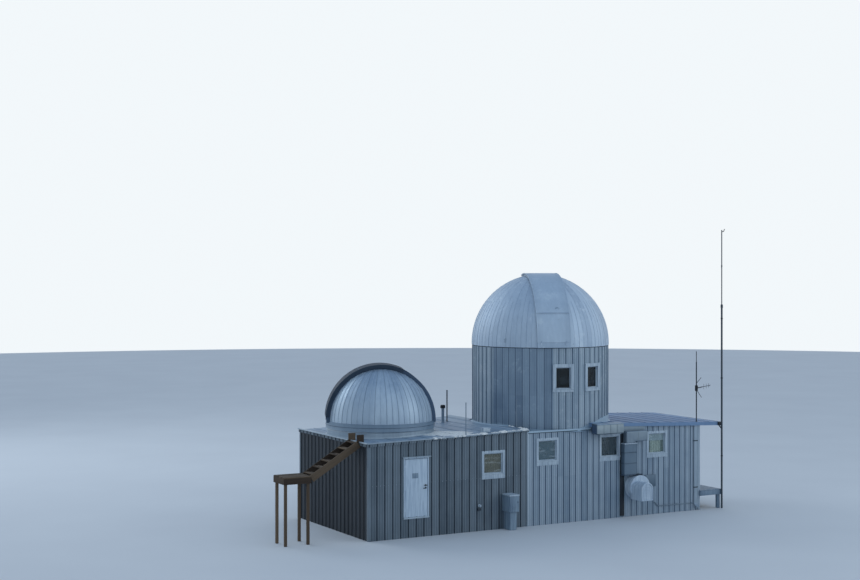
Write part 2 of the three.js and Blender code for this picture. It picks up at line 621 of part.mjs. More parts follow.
function westDoor() {
  const { left, width, top, thickness, proud } = WEST_DOOR;
  const right = left + width - RUNNING_GAP;
  const leaf = block(left, right, leafFront, leafFront + thickness, DOOR_SILL + RUNNING_GAP,
    top - RUNNING_GAP);
  const { rose, roseDepth, spindle, reach, tail, thickness: bar, standOff, boltAbove } = LEVER;
  const x = right - LEVER.fromEdge;
  const z = DOOR_SILL + LEVER.above;
  const handle = [
    rodY(rose, x, z, leafFront - roseDepth, leafFront + 1),
    rodY(spindle, x, z, leafFront - standOff - 1, leafFront + 1),
    block(x - reach, x + tail, leafFront - standOff - bar, leafFront - standOff,
      z - spindle, z + spindle),
    rodY(rose, x, z + boltAbove, leafFront - roseDepth, leafFront + 1),
  ];
  const swinging = hingeHeights.reduce((door, z) => door.add(doorHinge(z, 1)), joined(leaf, ...handle));
  add(model, 'west_door', geometryOf(swinging), whitePaint());

  const surround = (hole) => pierced(
    rectangle(doorway.left + SEAM, doorway.right - SEAM, DOOR_SILL, doorway.top - SEAM), [hole]);
  const opening = rectangle(left - HINGE.gap, left + width, DOOR_SILL + 1, top);
  const stop = rectangle(
    left + DOOR_STOP, left + width - DOOR_STOP, DOOR_SILL + 1, top - DOOR_STOP);
  const rebate = thickness + RUNNING_GAP;
  const front = slabXZ(surround(opening), leafFront, rebate);
  const back = slabXZ(surround(stop), leafFront + rebate - 1, WALL + proud - rebate + 1);
  const fixed = hingeHeights.reduce((ring, z) => ring.add(doorHinge(z, -1)), joined(front, back));
  add(model, 'west_door_frame', geometryOf(fixed), whitePaint());
}

// East door: a plain leaf in its lining, over a sill down to the ground, with trim outside
function eastDoor() {
  const { y, width, top, frame, sill, setBack, thickness, lining, trimThickness } = EAST_DOOR;
  const y1 = y + width;
  const face = EAST_END_X - setBack;
  const inset = EAST_DOOR.trimOverlap;
  const panel = block(face - thickness, face, y + SEAM, y1 - SEAM, FLOOR_TOP, top - SEAM);
  const apron = block(EAST_END_X - WALL + SEAM, EAST_END_X, y + SEAM, y1 - SEAM, 0, DOOR_SILL);
  const bottom = PORCH.top + SEAM;
  const trim = slabYZ(pierced(
    rectangle(y - frame, y1 + frame, bottom, top + frame),
    [rectangle(y + inset, y1 - inset, DOOR_SILL + sill, top - inset)]),
  EAST_END_X + SEAM, trimThickness);
  const linings = slabYZ(pierced(
    rectangle(y + SEAM, y1 - SEAM, bottom, top - SEAM),
    [rectangle(y + lining, y1 - lining, DOOR_SILL + sill, top - lining)]),
  face - thickness - 10, thickness + setBack + 20);
  add(model, 'east_door', geometryOf(joined(panel, apron, linings, trim)), whitePaint());
}

// Timber stair up to the west roof, from a landing on posts
const STAIR = {
  foot: -10500, footZ: 2300, y0: -2010, y1: -1310, board: 45, depth: 290, slope: 0.605,
  onRoof: 110, treads: 6, going: 260, tread: 40, treadDrop: 60, housing: 10,
};
const LANDING = {
  x0: -11500, y0: -2110, y1: -1210, deck: 40, beam: 200, joist: 45, post: 90, lap: 1,
};

function timberStair() {
  const { foot, footZ, y0, y1, board, depth, slope, treads: count, tread, housing } = STAIR;
  const head = WEST_END_X + STAIR.onRoof;
  const topAt = (x) => footZ + slope * (x - foot);
  const edge = WEST_END_X - WEST_ROOF.overhang - SEAM;
  const start = foot + SEAM;
  const side = outline([
    [start, topAt(start) - depth], [edge, topAt(edge) - depth], [edge, westRoofTop(edge) + SEAM],
    [head, westRoofTop(head) + SEAM], [head, topAt(head)], [start, topAt(start)],
  ]);
  const sides = [y0, y1 - board].map((y) => slabXZ(side, y, board));
  const run = (WEST_END_X - foot) / count;
  const half = STAIR.going / 2;
  const treads = Array.from({ length: count }, (_, i) => {
    const centre = foot + (i + 0.6) * run;
    const z = topAt(centre) - STAIR.treadDrop;
    return block(centre - half, centre + half, y0 + housing, y1 - housing, z - tread, z);
  });
  add(model, 'timber_stair', geometryOf(joined(...sides, ...treads)), timber());
}

function timberLanding() {
  const { x0, y0, y1, deck, beam, joist, post: size, lap } = LANDING;
  const x1 = STAIR.foot;
  const top = STAIR.footZ;
  const under = top - deck;
  const boards = block(x0, x1, y0, y1, under, top);
  const beams = [y0, y1 - joist].map((y) =>
    block(x0, x1, y, y + joist, under - beam, under + lap));
  const headers = [x0, x1 - joist].map((x) =>
    block(x, x + joist, y0, y1, under - beam, under + lap));
  const legs = [x0, x1 - size].flatMap((x) => [y0 + joist, y1 - joist - size].map((y) =>
    block(x, x + size, y - lap, y + size + lap, 0, under + lap)));
  add(model, 'timber_landing', geometryOf(joined(boards, ...beams, ...headers, ...legs)), timber());
}

// Porch under the canopy
function porch() {
  const { top, deck, y0, y1, leg, legInset } = PORCH;
  const slab = block(EAST_END_X + SEAM, CANOPY_X, y0, y1, top - deck, top);
  const x1 = CANOPY_X - legInset;
  const legs = [y0 + legInset, y1 - legInset - leg].map((y) =>
    block(x1 - leg, x1, y, y + leg, 0, top - deck / 2));
  add(model, 'porch_platform', geometryOf(joined(slab, ...legs)), whitePaint());
}

// Weather mast beside the canopy, with a hook at its top and a brace under the canopy, and the
// aerial on the east corner of the roof. A strut is a flat bar along a line in X and Z.
const MAST = {
  x: 6600, y: -2710, radius: 36, thinRadius: 20, jointZ: 7800, collar: 46, collarHalf: 70,
  top: 10740, bracketBottom: 3200, bracketTop: 3340, bracketHalf: 20, bracketReach: 170,
  brace: { out: 165, drop: 150, width: 36 },
  hook: { from: 60, lift: 12, out: 95, tip: 140, rise: 50, width: 30, tipWidth: 26, lap: 10 },
};
const AERIAL = {
  x: 5520, y: -2510, radius: 22, top: 6070, boomZ: 4660, boomRise: 92, thick: 300, boom: 690,
  thickWidth: 34, rod: 20, clampZ: 110, clamp: 42, lap: 20,
  upper: { from: 175, to: 405, out: 234 }, lower: { from: -55, to: -370, out: 254 },
};

function strut(x0, z0, x1, z1, y, width) {
  const length = Math.hypot(x1 - x0, z1 - z0);
  const [dx, dz] = [(z0 - z1) / length * width / 2, (x1 - x0) / length * width / 2];
  return slabXZ(outline([
    [x0 + dx, z0 + dz], [x0 - dx, z0 - dz], [x1 - dx, z1 - dz], [x1 + dx, z1 + dz],
  ]), y - width / 2, width);
}

function weatherMast() {
  const { x, y, radius, thinRadius, jointZ, collar, collarHalf, top, bracketHalf, brace, hook } = MAST;
  const bracket = block(x - MAST.bracketReach, x + bracketHalf, y - bracketHalf,
    FRONT_Y - EAST_ROOF.overhang - SEAM, MAST.bracketBottom, MAST.bracketTop);
  add(model, 'weather_mast', geometryOf(joined(
    post(radius, x, y, 0, jointZ), post(thinRadius, x, y, jointZ - hook.lap, top),
    post(collar, x, y, jointZ - collarHalf, jointZ + collarHalf), bracket,
    strut(x, MAST.bracketBottom - brace.drop, x - brace.out, MAST.bracketBottom + brace.width,
      y, brace.width),
    strut(x, top - hook.from, x + hook.out, top - hook.from + hook.lift, y, hook.width),
    strut(x + hook.out - hook.lap, top - hook.from, x + hook.tip, top + hook.rise, y, hook.tipWidth),
  )), paleSteel());
}

function aerialMast() {
  const { x, y, radius, top, boomZ, boomRise, thick, boom, rod, clampZ, clamp, lap } = AERIAL;
  const base = eastRoofTop(x - radius) + SEAM;
  const risen = (out) => boomZ + boomRise * out / boom;
  const arms = [AERIAL.upper, AERIAL.lower].map(({ from, to, out }) =>
    strut(x, boomZ + from, x + out, boomZ + to, y, rod));
  add(model, 'aerial_mast', geometryOf(joined(
    post(radius, x, y, base, top), post(clamp, x, y, boomZ - clampZ, boomZ + clampZ),
    strut(x, boomZ, x + thick, risen(thick), y, AERIAL.thickWidth),
    strut(x + thick - lap, risen(thick - lap), x + boom, risen(boom), y, rod), ...arms)), darkSteel());
}

// Fittings on the west roof
const ROOF_FITTINGS = {
  roof_pole: { x: -3195, y: 1555, radius: 24, height: 1200 },
  eave_pole: { x: -4760, y: -2540, radius: 18, height: 1160 },
  roof_rod: { x: -2466, y: -2233, radius: 14, height: 1080 },
};
const ROOF_VENT = { x: -3490, y: 1354, radius: 55, height: 560, cap: 95, capHeight: 120 };
const ROOF_BOX = { x: -3804, y: -2257, width: 290, depth: 250, height: 170 };

function roofFittings() {
  for (const [name, { x, y, radius, height }] of Object.entries(ROOF_FITTINGS)) {
    const base = westRoofTop(x + radius) + SEAM;
    const flange = post(radius * 2.2, x, y, base + 2 * WEST_ROOF.slope * radius, base + 15);
    add(model, name, geometryOf(joined(flange, post(radius, x, y, base, base + height))), paleSteel());
  }
  const vent = ROOF_VENT;
  const base = westRoofTop(vent.x + vent.radius) + SEAM;
  add(model, 'roof_vent', geometryOf(joined(
    post(vent.radius, vent.x, vent.y, base, base + vent.height + 10),
    post(vent.cap, vent.x, vent.y, base + vent.height, base + vent.height + vent.capHeight, 16))),
  darkSteel());
  const box = ROOF_BOX;
  const seat = westRoofTop(box.x + box.width / 2) + SEAM;
  add(model, 'roof_box', block(
    box.x - box.width / 2, box.x + box.width / 2, box.y - box.depth / 2, box.y + box.depth / 2,
    seat, seat + box.height), whitePaint());
}

// Ventilation on the front: eave hood, riser, elbow and blower
const HOOD = { x0: 530, x1: 1730, depth: 340, bottom: 3180, top: 3545 };
const RISER = { x0: 1900, x1: 2460, depth: 250, bottom: 1560, top: 2740 };
const ELBOW = { radius: 200, startZ: 2765, turnZ: 3010, endX: 2940, sides: 20 };
const BLOWER = {
  x: 2530, z: 1110, radius: 450, depth: 380, hoodX0: 2140, hoodX1: 2650, hoodY: 1000,
  hoodBottom: 700, hoodTop: 1370,
};

function eaveHood() {
  const face = FRONT_Y - EAST_ROOF.overhang - SEAM;
  add(model, 'eave_hood',
    block(HOOD.x0, HOOD.x1, face - HOOD.depth, face, HOOD.bottom, HOOD.top), paleSteel());
}

function ventDuct() {
  const back = FRONT_Y - SEAM;
  const shaft = block(RISER.x0, RISER.x1, back - RISER.depth, back, RISER.bottom, RISER.top);
  const flange = block(RISER.x0 - 10, RISER.x1 + 10, back - RISER.depth - 25, back,
    RISER.top - 10, RISER.top + 25);
  add(model, 'duct_riser', geometryOf(joined(shaft, flange)), paleSteel());

  // Two lengths of round duct, cut to each other along the mitre
  const { radius, startZ, turnZ, endX, sides } = ELBOW;
  const x = (RISER.x0 + RISER.x1) / 2;
  const y = back - radius - 5;
  const far = 2 * radius;
  const lowerHalf = slabXZ(outline([
    [x - far, turnZ - far], [x + far, turnZ - far], [x - far, turnZ + far],
  ]), y - far, 2 * far);
  const upright = kept(body(post(radius, x, y, startZ + SEAM, turnZ + radius, sides)), lowerHalf);
  const level = cut(body(rodX(radius, y, turnZ, x - radius, endX, sides)), lowerHalf);
  add(model, 'duct_elbow', geometryOf(upright.add(level)), paleSteel());
}

function blower() {
  const back = FRONT_Y - SEAM;
  const drum = rodY(BLOWER.radius, BLOWER.x, BLOWER.z, back - BLOWER.depth, back, 28);
  const middle = (BLOWER.hoodX0 + BLOWER.hoodX1) / 2;
  const half = (BLOWER.hoodX1 - BLOWER.hoodX0) / 2;
  const crown = arc(half, 0, 180, 10).map(([x, z]) => [middle + x, BLOWER.hoodTop - half + z]);
  const hood = slabXZ(outline([
    [BLOWER.hoodX0, BLOWER.hoodBottom], [BLOWER.hoodX1, BLOWER.hoodBottom], ...crown,
  ]), back - BLOWER.hoodY, BLOWER.hoodY - BLOWER.depth + 40);
  add(model, 'blower', geometryOf(joined(drum, hood)), whitePaint());
}

// Equipment cabinet against the west wing's front
const CABINET = { x0: -3280, x1: -2900, depth: 530, bottom: 650, top: 1215, lid: 45, over: 15 };

function cabinet() {
  const { x0, x1, depth, bottom, top, lid, over } = CABINET;
  const back = FRONT_Y - SEAM;
  add(model, 'equipment_cabinet', geometryOf(joined(
    block(x0 + 60, x1 - 60, back - depth + 80, back, 0, bottom + 10),
    block(x0, x1, back - depth, back, bottom, top),
    block(x0 - over, x1 + over, back - depth - over, back, top - 5, top + lid))), paleSteel());
}

westWalls();
eastWalls();
towerWalls();
floors();
roofs();
windows();
tracks();
domes();
westDoor();
eastDoor();
timberStair();
timberLanding();
porch();
weatherMast();
aerialMast();
roofFittings();
eaveHood();
ventDuct();
blower();
cabinet();

export default model;
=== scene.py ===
"""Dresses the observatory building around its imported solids: sheet skins, roofs, domes, windows,
doors and fittings. Metres, +Z up, in the same frame as the solids."""
import json
import math

import bmesh
import bpy
import numpy as np
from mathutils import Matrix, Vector

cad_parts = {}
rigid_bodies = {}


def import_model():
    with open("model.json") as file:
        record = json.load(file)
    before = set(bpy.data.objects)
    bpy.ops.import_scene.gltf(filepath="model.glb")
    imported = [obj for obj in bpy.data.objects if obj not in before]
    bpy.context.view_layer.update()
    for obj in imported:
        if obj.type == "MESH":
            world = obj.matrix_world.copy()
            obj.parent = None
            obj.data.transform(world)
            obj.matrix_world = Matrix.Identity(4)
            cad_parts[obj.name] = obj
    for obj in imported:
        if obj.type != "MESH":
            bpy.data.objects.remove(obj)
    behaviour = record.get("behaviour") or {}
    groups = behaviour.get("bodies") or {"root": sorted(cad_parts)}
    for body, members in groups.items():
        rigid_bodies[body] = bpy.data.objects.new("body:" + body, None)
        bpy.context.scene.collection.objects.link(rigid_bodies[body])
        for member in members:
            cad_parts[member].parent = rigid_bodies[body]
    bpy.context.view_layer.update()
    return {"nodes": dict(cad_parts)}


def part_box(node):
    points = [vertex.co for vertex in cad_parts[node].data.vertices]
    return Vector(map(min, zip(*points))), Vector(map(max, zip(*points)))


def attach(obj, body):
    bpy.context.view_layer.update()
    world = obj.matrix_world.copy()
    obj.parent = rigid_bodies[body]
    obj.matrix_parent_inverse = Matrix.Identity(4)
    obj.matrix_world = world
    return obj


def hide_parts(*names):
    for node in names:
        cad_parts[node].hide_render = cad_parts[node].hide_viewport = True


for leftover in list(bpy.data.objects):
    bpy.data.objects.remove(leftover)
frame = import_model()

UP = np.array([0.0, 0.0, 1.0])
EAST = np.array([1.0, 0.0, 0.0])
BACK = np.array([0.0, 1.0, 0.0])
chance = np.random.default_rng(11)

# Driving sizes, read off the solids
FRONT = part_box("west_front_wall_left")[0].y
WEST_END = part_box("west_end_wall")[0].x
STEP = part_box("west_front_wall_right")[1].x
EAST_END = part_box("east_end_wall")[1].x
WEST_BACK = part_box("west_back_wall")[1].y
EAST_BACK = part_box("east_back_wall")[1].y
TOWER_RADIUS = -FRONT
TOWER_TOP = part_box("tower_upper_wall_front")[1].z
HIGH_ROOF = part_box("east_roof")[0].x
WEST_ROOF_THICKNESS = 0.06
MIDDLE_EAVE = 3.345
WEST_EAVE, WEST_EAVE_SLOPE = 3.33, 0.0165
EAST_ROOF_THICKNESS = 0.1


def west_roof_top(x):
    """The west roof's upper face: a plane that rises to the right."""
    low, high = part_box("west_roof")
    slope = (high.z - WEST_ROOF_THICKNESS - low.z) / (high.x - low.x)
    return high.z + slope * (x - high.x)


def west_eave(x):
    """The line that the west wing's sheets are cut to, a little flatter than its roof."""
    return WEST_EAVE + WEST_EAVE_SLOPE * (np.asarray(x) - WEST_END)


def east_roof_top(x):
    """The east roof's upper face: a plane that falls to the right."""
    low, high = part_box("east_roof")
    slope = (high.z - EAST_ROOF_THICKNESS - low.z) / (high.x - low.x)
    return high.z - slope * (x - low.x)


# Colours: sRGB hex values, turned to linear here
def colour(code):
    srgb = np.array([int(code[i:i + 2], 16) for i in (0, 2, 4)]) / 255
    linear = np.where(srgb <= 0.04045, srgb / 12.92, ((srgb + 0.055) / 1.055) ** 2.4)
    return (*linear.tolist(), 1.0)


# Shader nodes
def add(tree, kind, inputs=None, out=0, **settings):
    """Adds one node with its settings and its sockets' values or links, and returns the output
    that is asked for."""
    made = tree.nodes.new("ShaderNode" + kind)
    for key, value in settings.items():
        setattr(made, key, value)
    for key, value in (inputs or {}).items():
        if isinstance(value, bpy.types.NodeSocket):
            tree.links.new(value, made.inputs[key])
        else:
            made.inputs[key].default_value = value
    return made.outputs[out] if made.outputs else None


def empty_material(name):
    """A material without nodes, and its node tree."""
    made = bpy.data.materials.new(name)
    made.use_nodes = True
    made.node_tree.nodes.clear()
    return made, made.node_tree


def coated(made, ground, coats, roughness, bump=None, **same_all_over):
    """The material's shader. Its colour is a ground with coats over it: a coat (pattern, low,
    high, share, colour) grows from none to its share as the pattern goes from low to high.
    roughness is one number or (pattern, low, high, from, to), and bump is (height, strength,
    distance)."""
    tree = made.node_tree
    face = colour(ground)
    for pattern, low, high, share, code in coats:
        factor = add(tree, "MapRange", {0: pattern, 1: low, 2: high, 3: 0.0, 4: share})
        face = add(tree, "Mix", {0: factor, 6: face, 7: colour(code)}, 2, data_type="RGBA")
    if isinstance(roughness, tuple):
        roughness = add(tree, "MapRange", dict(enumerate(roughness)))
    sockets = {"Base Color": face, "Roughness": roughness}
    sockets.update({key.replace("_", " "): value for key, value in same_all_over.items()})
    if bump:
        height, strength, distance = bump
        sockets["Normal"] = add(tree, "Bump", {
            "Height": height, "Strength": strength, "Distance": distance})
    add(tree, "OutputMaterial", {"Surface": add(tree, "BsdfPrincipled", sockets)})
    return made


def sheet_metal(name, light, dark, painted_shade_colour, metallic, roughness, patch=None, wave=0.5, smudge=None):
    """Rolled zinc-coated steel or aluminium: each sheet has its own tone, with faint streaks
    90 mm wide and 1.4 m long down it, a cloudy dull sheen 0.8 m across and slow ripples 0.4 m
    across. Where the shade mark is high, along ribs, seams, folds and under parts, the colour goes
    to the shade colour as painted shade; on some fittings the mark is only a darker tone. Where
    patch is given, chalky spots of oxide 180 mm across show, and where smudge is given, a few
    hand-sized grey marks 100 to 350 mm across."""
    made, tree = empty_material(name)
    place = add(tree, "TexCoord", out="Object")
    tone = add(tree, "Attribute", out="Fac", attribute_name="tone")
    fold = add(tree, "Attribute", out="Fac", attribute_name="fold")
    drawn_out = add(tree, "Mapping", {"Vector": place, "Scale": (11, 11, 0.7)})
    streaks = add(tree, "TexNoise", {
        "Vector": drawn_out, "Scale": 1.0, "Detail": 4.0, "Roughness": 0.6})
    clouds = add(tree, "TexNoise", {"Vector": place, "Scale": 1.3, "Detail": 4.0})
    soft = add(tree, "Math", {0: streaks, 1: clouds}, operation="ADD")
    mixture = add(tree, "Math", {0: soft, 1: tone}, operation="ADD")
    coats = [(mixture, 0.75, 1.85, 1.0, light)]
    if patch:
        spots = add(tree, "TexNoise", {
            "Vector": place, "Scale": 5.5, "Detail": 5.0, "Roughness": 0.65})
        spots = add(tree, "Math", {0: spots, 1: clouds}, operation="MULTIPLY")
        coats.append((spots, 0.3, 0.4, 0.75, patch))
    if smudge:
        marks = add(tree, "TexNoise", {
            "Vector": place, "Scale": 2.9, "Detail": 6.0, "Roughness": 0.62})
        coats.append((marks, 0.66, 0.76, 0.7, smudge))
    # painted shade: the shade mark darkens ribs, seams, folds and undersides
    coats.append((fold, 0.02, 0.5, 1.0, painted_shade_colour))
    ripple = add(tree, "TexNoise", {"Vector": place, "Scale": 2.4, "Detail": 2.0})
    return coated(made, dark, coats, (soft, 0.6, 1.4, roughness - 0.08, roughness + 0.12),
                  (ripple, wave, 0.03), Metallic=metallic)


def painted(name, light, dark, roughness=0.5, chip=None, metallic=0.0, speck=30.0):
    """Brushed-on satin paint: faint brush streaks 70 mm wide and 0.7 m long, greyer where rain
    has washed dust down, and a fine grain every 17 mm, coarser than real so that it shows.
    Where chip is given, small bare or rusty spots show, speck of them to a metre."""
    made, tree = empty_material(name)
    place = add(tree, "TexCoord", out="Object")
    drawn_out = add(tree, "Mapping", {"Vector": place, "Scale": (14, 14, 1.5)})
    dust_and_shade = add(tree, "TexNoise", {
        "Vector": drawn_out, "Scale": 1.0, "Detail": 5.0, "Roughness": 0.6})
    coats = [(dust_and_shade, 0.35, 0.7, 1.0, dark)]
    if chip:
        spots = add(tree, "TexNoise", {
            "Vector": place, "Scale": speck, "Detail": 4.0, "Roughness": 0.6})
        coats.append((spots, 0.66, 0.72, 1.0, chip))
    grain = add(tree, "TexNoise", {"Vector": place, "Scale": 60.0, "Detail": 3.0})
    return coated(made, light, coats, (dust_and_shade, 0.3, 0.7, roughness - 0.1, roughness + 0.15),
                  (grain, 0.15, 0.002), Metallic=metallic)


def sawn_timber(name, light, dark):
    """Sawn softwood left to weather: grain lines 8 mm apart along each board, drawn as coarse
    as that so that they show, and each board of its own tone."""
    made, tree = empty_material(name)
    run = add(tree, "Attribute", out="Fac", attribute_name="run")
    turn = add(tree, "Attribute", out="Fac", attribute_name="turn")
    tone = add(tree, "Attribute", out="Fac", attribute_name="tone")
    along = add(tree, "Math", {0: run, 1: 1.6}, operation="MULTIPLY")
    across = add(tree, "Math", {0: turn, 1: 120.0}, operation="MULTIPLY")
    apart = add(tree, "Math", {0: tone, 1: 37.0}, operation="MULTIPLY")
    place = add(tree, "CombineXYZ", {0: along, 1: across, 2: apart})
    grain = add(tree, "TexNoise", {"Vector": place, "Scale": 1.0, "Detail": 4.0, "Roughness": 0.6})
    mixture = add(tree, "Math", {0: grain, 1: tone}, operation="ADD")
    return coated(made, dark, [(mixture, 0.5, 1.5, 1.0, light)], (grain, 0.3, 0.7, 0.65, 0.9),
                  (grain, 0.4, 0.003), Specular_IOR_Level=0.25)


def window_pane(name, tint, painted_reflection, clear=0.45):
    """Float glass over a dim room: dark, very smooth, with a painted reflection of the sky in faint
    pale bands 140 mm high, a slow waviness 0.3 m across that bends what it mirrors, and a share
    that shows the room."""
    made, tree = empty_material(name)
    place = add(tree, "TexCoord", out="Object")
    flattened = add(tree, "Mapping", {"Vector": place, "Scale": (1.2, 1.2, 7)})
    bands = add(tree, "TexNoise", {"Vector": flattened, "Scale": 1.0, "Detail": 3.0})
    waviness = add(tree, "TexNoise", {"Vector": place, "Scale": 3.0, "Detail": 1.0})
    # painted reflection: pale bands of sky laid over the glass's tint
    return coated(made, tint, [(bands, 0.52, 0.66, 0.85, painted_reflection)], 0.06,
                  (waviness, 0.12, 0.01), IOR=1.52, Alpha=1 - clear)


def woven_curtain(name, light, dark):
    """Plain woven cotton: a thread every 12 mm, coarser than real so that it shows, with a painted
    highlight on the crown of each fold and painted shade in its hollows."""
    made, tree = empty_material(name)
    place = add(tree, "TexCoord", out="Object")
    fold = add(tree, "Attribute", out="Fac", attribute_name="fold")
    weave = add(tree, "TexWave", {"Vector": place, "Scale": 26.0, "Distortion": 0.4}, 1,
                bands_direction="Z")
    # painted highlight on the fold crowns, painted shade in the hollows
    crown = add(tree, "Math", {0: fold, 1: weave}, operation="ADD")
    return coated(made, dark, [(crown, 0.2, 1.8, 1.0, light)], 0.9, (weave, 0.2, 0.002),
                  Sheen_Weight=0.2)


def cast_floor(name, light, dark):
    """Concrete struck off by hand: clouds 0.5 m across with grit every 11 mm, coarser than real
    so that it shows, and small pits."""
    made, tree = empty_material(name)
    place = add(tree, "TexCoord", out="Object")
    clouds = add(tree, "TexNoise", {"Vector": place, "Scale": 2.0, "Detail": 6.0, "Roughness": 0.6})
    grit = add(tree, "TexNoise", {"Vector": place, "Scale": 90.0, "Detail": 3.0, "Roughness": 0.7})
    mixture = add(tree, "Math", {0: clouds, 1: grit}, operation="ADD")
    return coated(made, dark, [(mixture, 0.7, 1.3, 1.0, light)], (grit, 0.3, 0.7, 0.8, 0.95),
                  (grit, 0.3, 0.003))


# Each sheet: its light and dark tone, then the colour of its painted shade at ribs, seams and folds
west_steel = sheet_metal("rolled_steel_west", "717f8b", "4a5864", "1d2b38", 0.35, 0.5)
# painted shade: a darker copy of the west sheets for the west end wall, which faces away from the light
west_end_shaded_steel = sheet_metal("rolled_steel_west_end_shaded", "363f48", "242c35", "141b22", 0.35, 0.5)
tower_steel = sheet_metal("rolled_steel_tower", "a3b3c0", "7b8fa1", "52667a", 0.3, 0.5, "b0bec9")
calm_steel = sheet_metal("rolled_steel_calm", "8599ac", "5d7288", "42566c", 0.35, 0.48, "94a7b8")
east_steel = sheet_metal("rolled_steel_east", "9babba", "768a9d", "4e6277", 0.3, 0.5)
dome_steel = sheet_metal("rolled_aluminium_dome", "b6c8da", "98abc0", "6d8197", 0.22, 0.52, "c3d2e0",
                         smudge="5f7388")
small_steel = sheet_metal("rolled_aluminium_small_dome", "b4c6d6", "8a9fb5", "54697e", 0.4, 0.5)
shutter_steel = sheet_metal(
    "rolled_aluminium_shutter", "b6c8da", "97abc0", "5f7389", 0.22, 0.52, "c0d0de", smudge="586c81")
skirt_steel = sheet_metal("rolled_steel_skirt", "8094a7", "5f768c", "3c5066", 0.3, 0.5)
arch_steel = sheet_metal("weathered_steel_arch", "4b6079", "364a61", "28394b", 0.1, 0.75)
roof_steel = sheet_metal("coated_roof_sheet", "8aa0b4", "687f97", "4c647f", 0.15, 0.5, "a3b4c4", 0.8)
east_roof_steel = sheet_metal("coated_east_roof", "6d8aad", "516e93", "46607f", 0.1, 0.55)
trim_steel = sheet_metal("folded_steel_trim", "a9b9c6", "7b8d9e", "4b5b6b", 0.35, 0.45)
duct_steel = sheet_metal("galvanised_duct", "8c9ba6", "68798a", "3f4f5e", 0.45, 0.45)
riser_steel = sheet_metal("galvanised_riser", "66798a", "4a5d70", "324253", 0.45, 0.45)
hood_steel = sheet_metal("galvanised_hood", "9ba8af", "74848f", "4b5a66", 0.35, 0.48)
flashing_steel = sheet_metal("folded_foot_flashing", "a5bccd", "7f98ad", "566c80", 0.25, 0.48)
dark_steel = sheet_metal("dark_painted_steel", "36424e", "1f2a35", "10161d", 0.3, 0.5)
mast_steel = sheet_metal("galvanised_mast", "5d6872", "404a55", "252c34", 0.5, 0.5)
white_coat = painted("white_satin_paint", "b6c5d1", "8ea0b2", 0.42)
porch_coat = painted("porch_paint", "758a9e", "5a6f84", 0.5, "505d68")
door_coat = painted("white_door_paint", "bccddd", "9bb0c5", 0.4)
blower_coat = painted("white_blower_paint", "c4d3e1", "95aac0", 0.45, "6c7784")
box_coat = painted("grey_box_paint", "8398aa", "5f7489", 0.45, "4c5a66")
seal_paste = painted("roof_sealant", "eff2f3", "c2c4c0", 0.6, "a1988a", speck=9.0)
black_rubber = painted("black_rubber", "1b2129", "10151b", 0.7)
lock_brass = painted("dull_lock_metal", "3a4149", "20262d", 0.35, metallic=0.6)
timber = sawn_timber("weathered_timber", "6b5c4c", "362c25")
concrete = cast_floor("cast_concrete", "9c9d9a", "77797a")
room_paint = painted("room_wall_paint", "a9a89d", "8b897e", 0.75)
# The slot that each finish goes with, unless a piece says another
SLOTS = {
    "west_cladding": [west_steel, west_end_shaded_steel],
    "east_cladding": [tower_steel, calm_steel, east_steel],
    "dome_metal": [dome_steel, small_steel],
    "shutter_metal": [shutter_steel],
    "rail_metal": [skirt_steel, arch_steel],
    "roof_sheet": [roof_steel, east_roof_steel, seal_paste],
    "pale_steel": [trim_steel, duct_steel, riser_steel, hood_steel, flashing_steel, mast_steel,
                   box_coat],
    "dark_steel": [dark_steel, black_rubber, lock_brass],
    "white_paint": [white_coat, porch_coat, door_coat, blower_coat],
    "timber": [timber],
}


# Surfaces. Each is (points, faces, marks): quads on a grid of points with a value for each.
def unit(vectors):
    vectors = np.asarray(vectors, float)
    return vectors / np.linalg.norm(vectors, axis=-1, keepdims=True)


def coords(*values):
    """Points from their coordinates: numbers or arrays, stretched to one shape."""
    return np.stack(np.broadcast_arrays(*values), -1)


def grid(points, wrap=(False, False), keep=None, flip=False, **marks):
    """Quads between the neighbours of a (rows, columns, 3) array of points. They face along
    the change over rows crossed with the change over columns."""
    rows, columns = points.shape[:2]
    number = np.arange(rows * columns).reshape(rows, columns)
    if wrap[0]:
        number = np.concatenate([number, number[:1]])
    if wrap[1]:
        number = np.concatenate([number, number[:, :1]], 1)
    faces = np.stack([number[:-1, :-1], number[1:, :-1], number[1:, 1:], number[:-1, 1:]], -1)
    faces = faces.reshape(-1, 4) if keep is None else faces[keep]
    if flip:
        faces = faces[:, ::-1]
    values = {name: np.broadcast_to(value, (rows, columns)).ravel() for name, value in marks.items()}
    return points.reshape(-1, 3), faces, values


def outward(part):
    """A closed surface facing outwards: its signed volume is made positive."""
    points, faces, marks = part
    a, b, c, d = (points[faces[:, i]] - points.mean(0) for i in range(4))
    volume = np.sum(a * (np.cross(b, c) + np.cross(c, d)))
    return points, faces if volume > 0 else faces[:, ::-1], marks


def sweep(path, side, lift, profile, closed=False, **marks):
    """A closed profile carried along a path: point = path + side * a + lift * b for each corner
    (a, b) of the profile. An open path ends in flat caps, made of strips between the corners
    that face each other, so that a folded sheet's section is capped right too."""
    path, profile = np.asarray(path, float), np.asarray(profile, float)
    if profile.ndim == 2:
        profile = profile[None]
    side, lift = (np.broadcast_to(v, path.shape)[:, None] for v in (side, lift))
    points = path[:, None] + side * profile[..., :1] + lift * profile[..., 1:]
    steps = np.linalg.norm(np.diff(path, axis=0), axis=1)
    run = np.concatenate([[0], np.cumsum(steps)])[:, None]
    turn = np.concatenate([[0], np.cumsum(np.linalg.norm(np.diff(profile[0], axis=0), axis=1))])
    marks = {"run": run, "turn": turn[None], "tone": chance.uniform(), **marks}
    points, faces, marks = grid(points, wrap=(closed, True), **marks)
    if not closed:
        corners = profile.shape[1]
        i = np.arange(corners // 2 - 1)
        cap = np.stack([i, i + 1, corners - 2 - i, corners - 1 - i], -1)
        faces = np.concatenate([faces, cap, cap[:, ::-1] + (len(path) - 1) * corners])
    return outward((points, faces, marks))


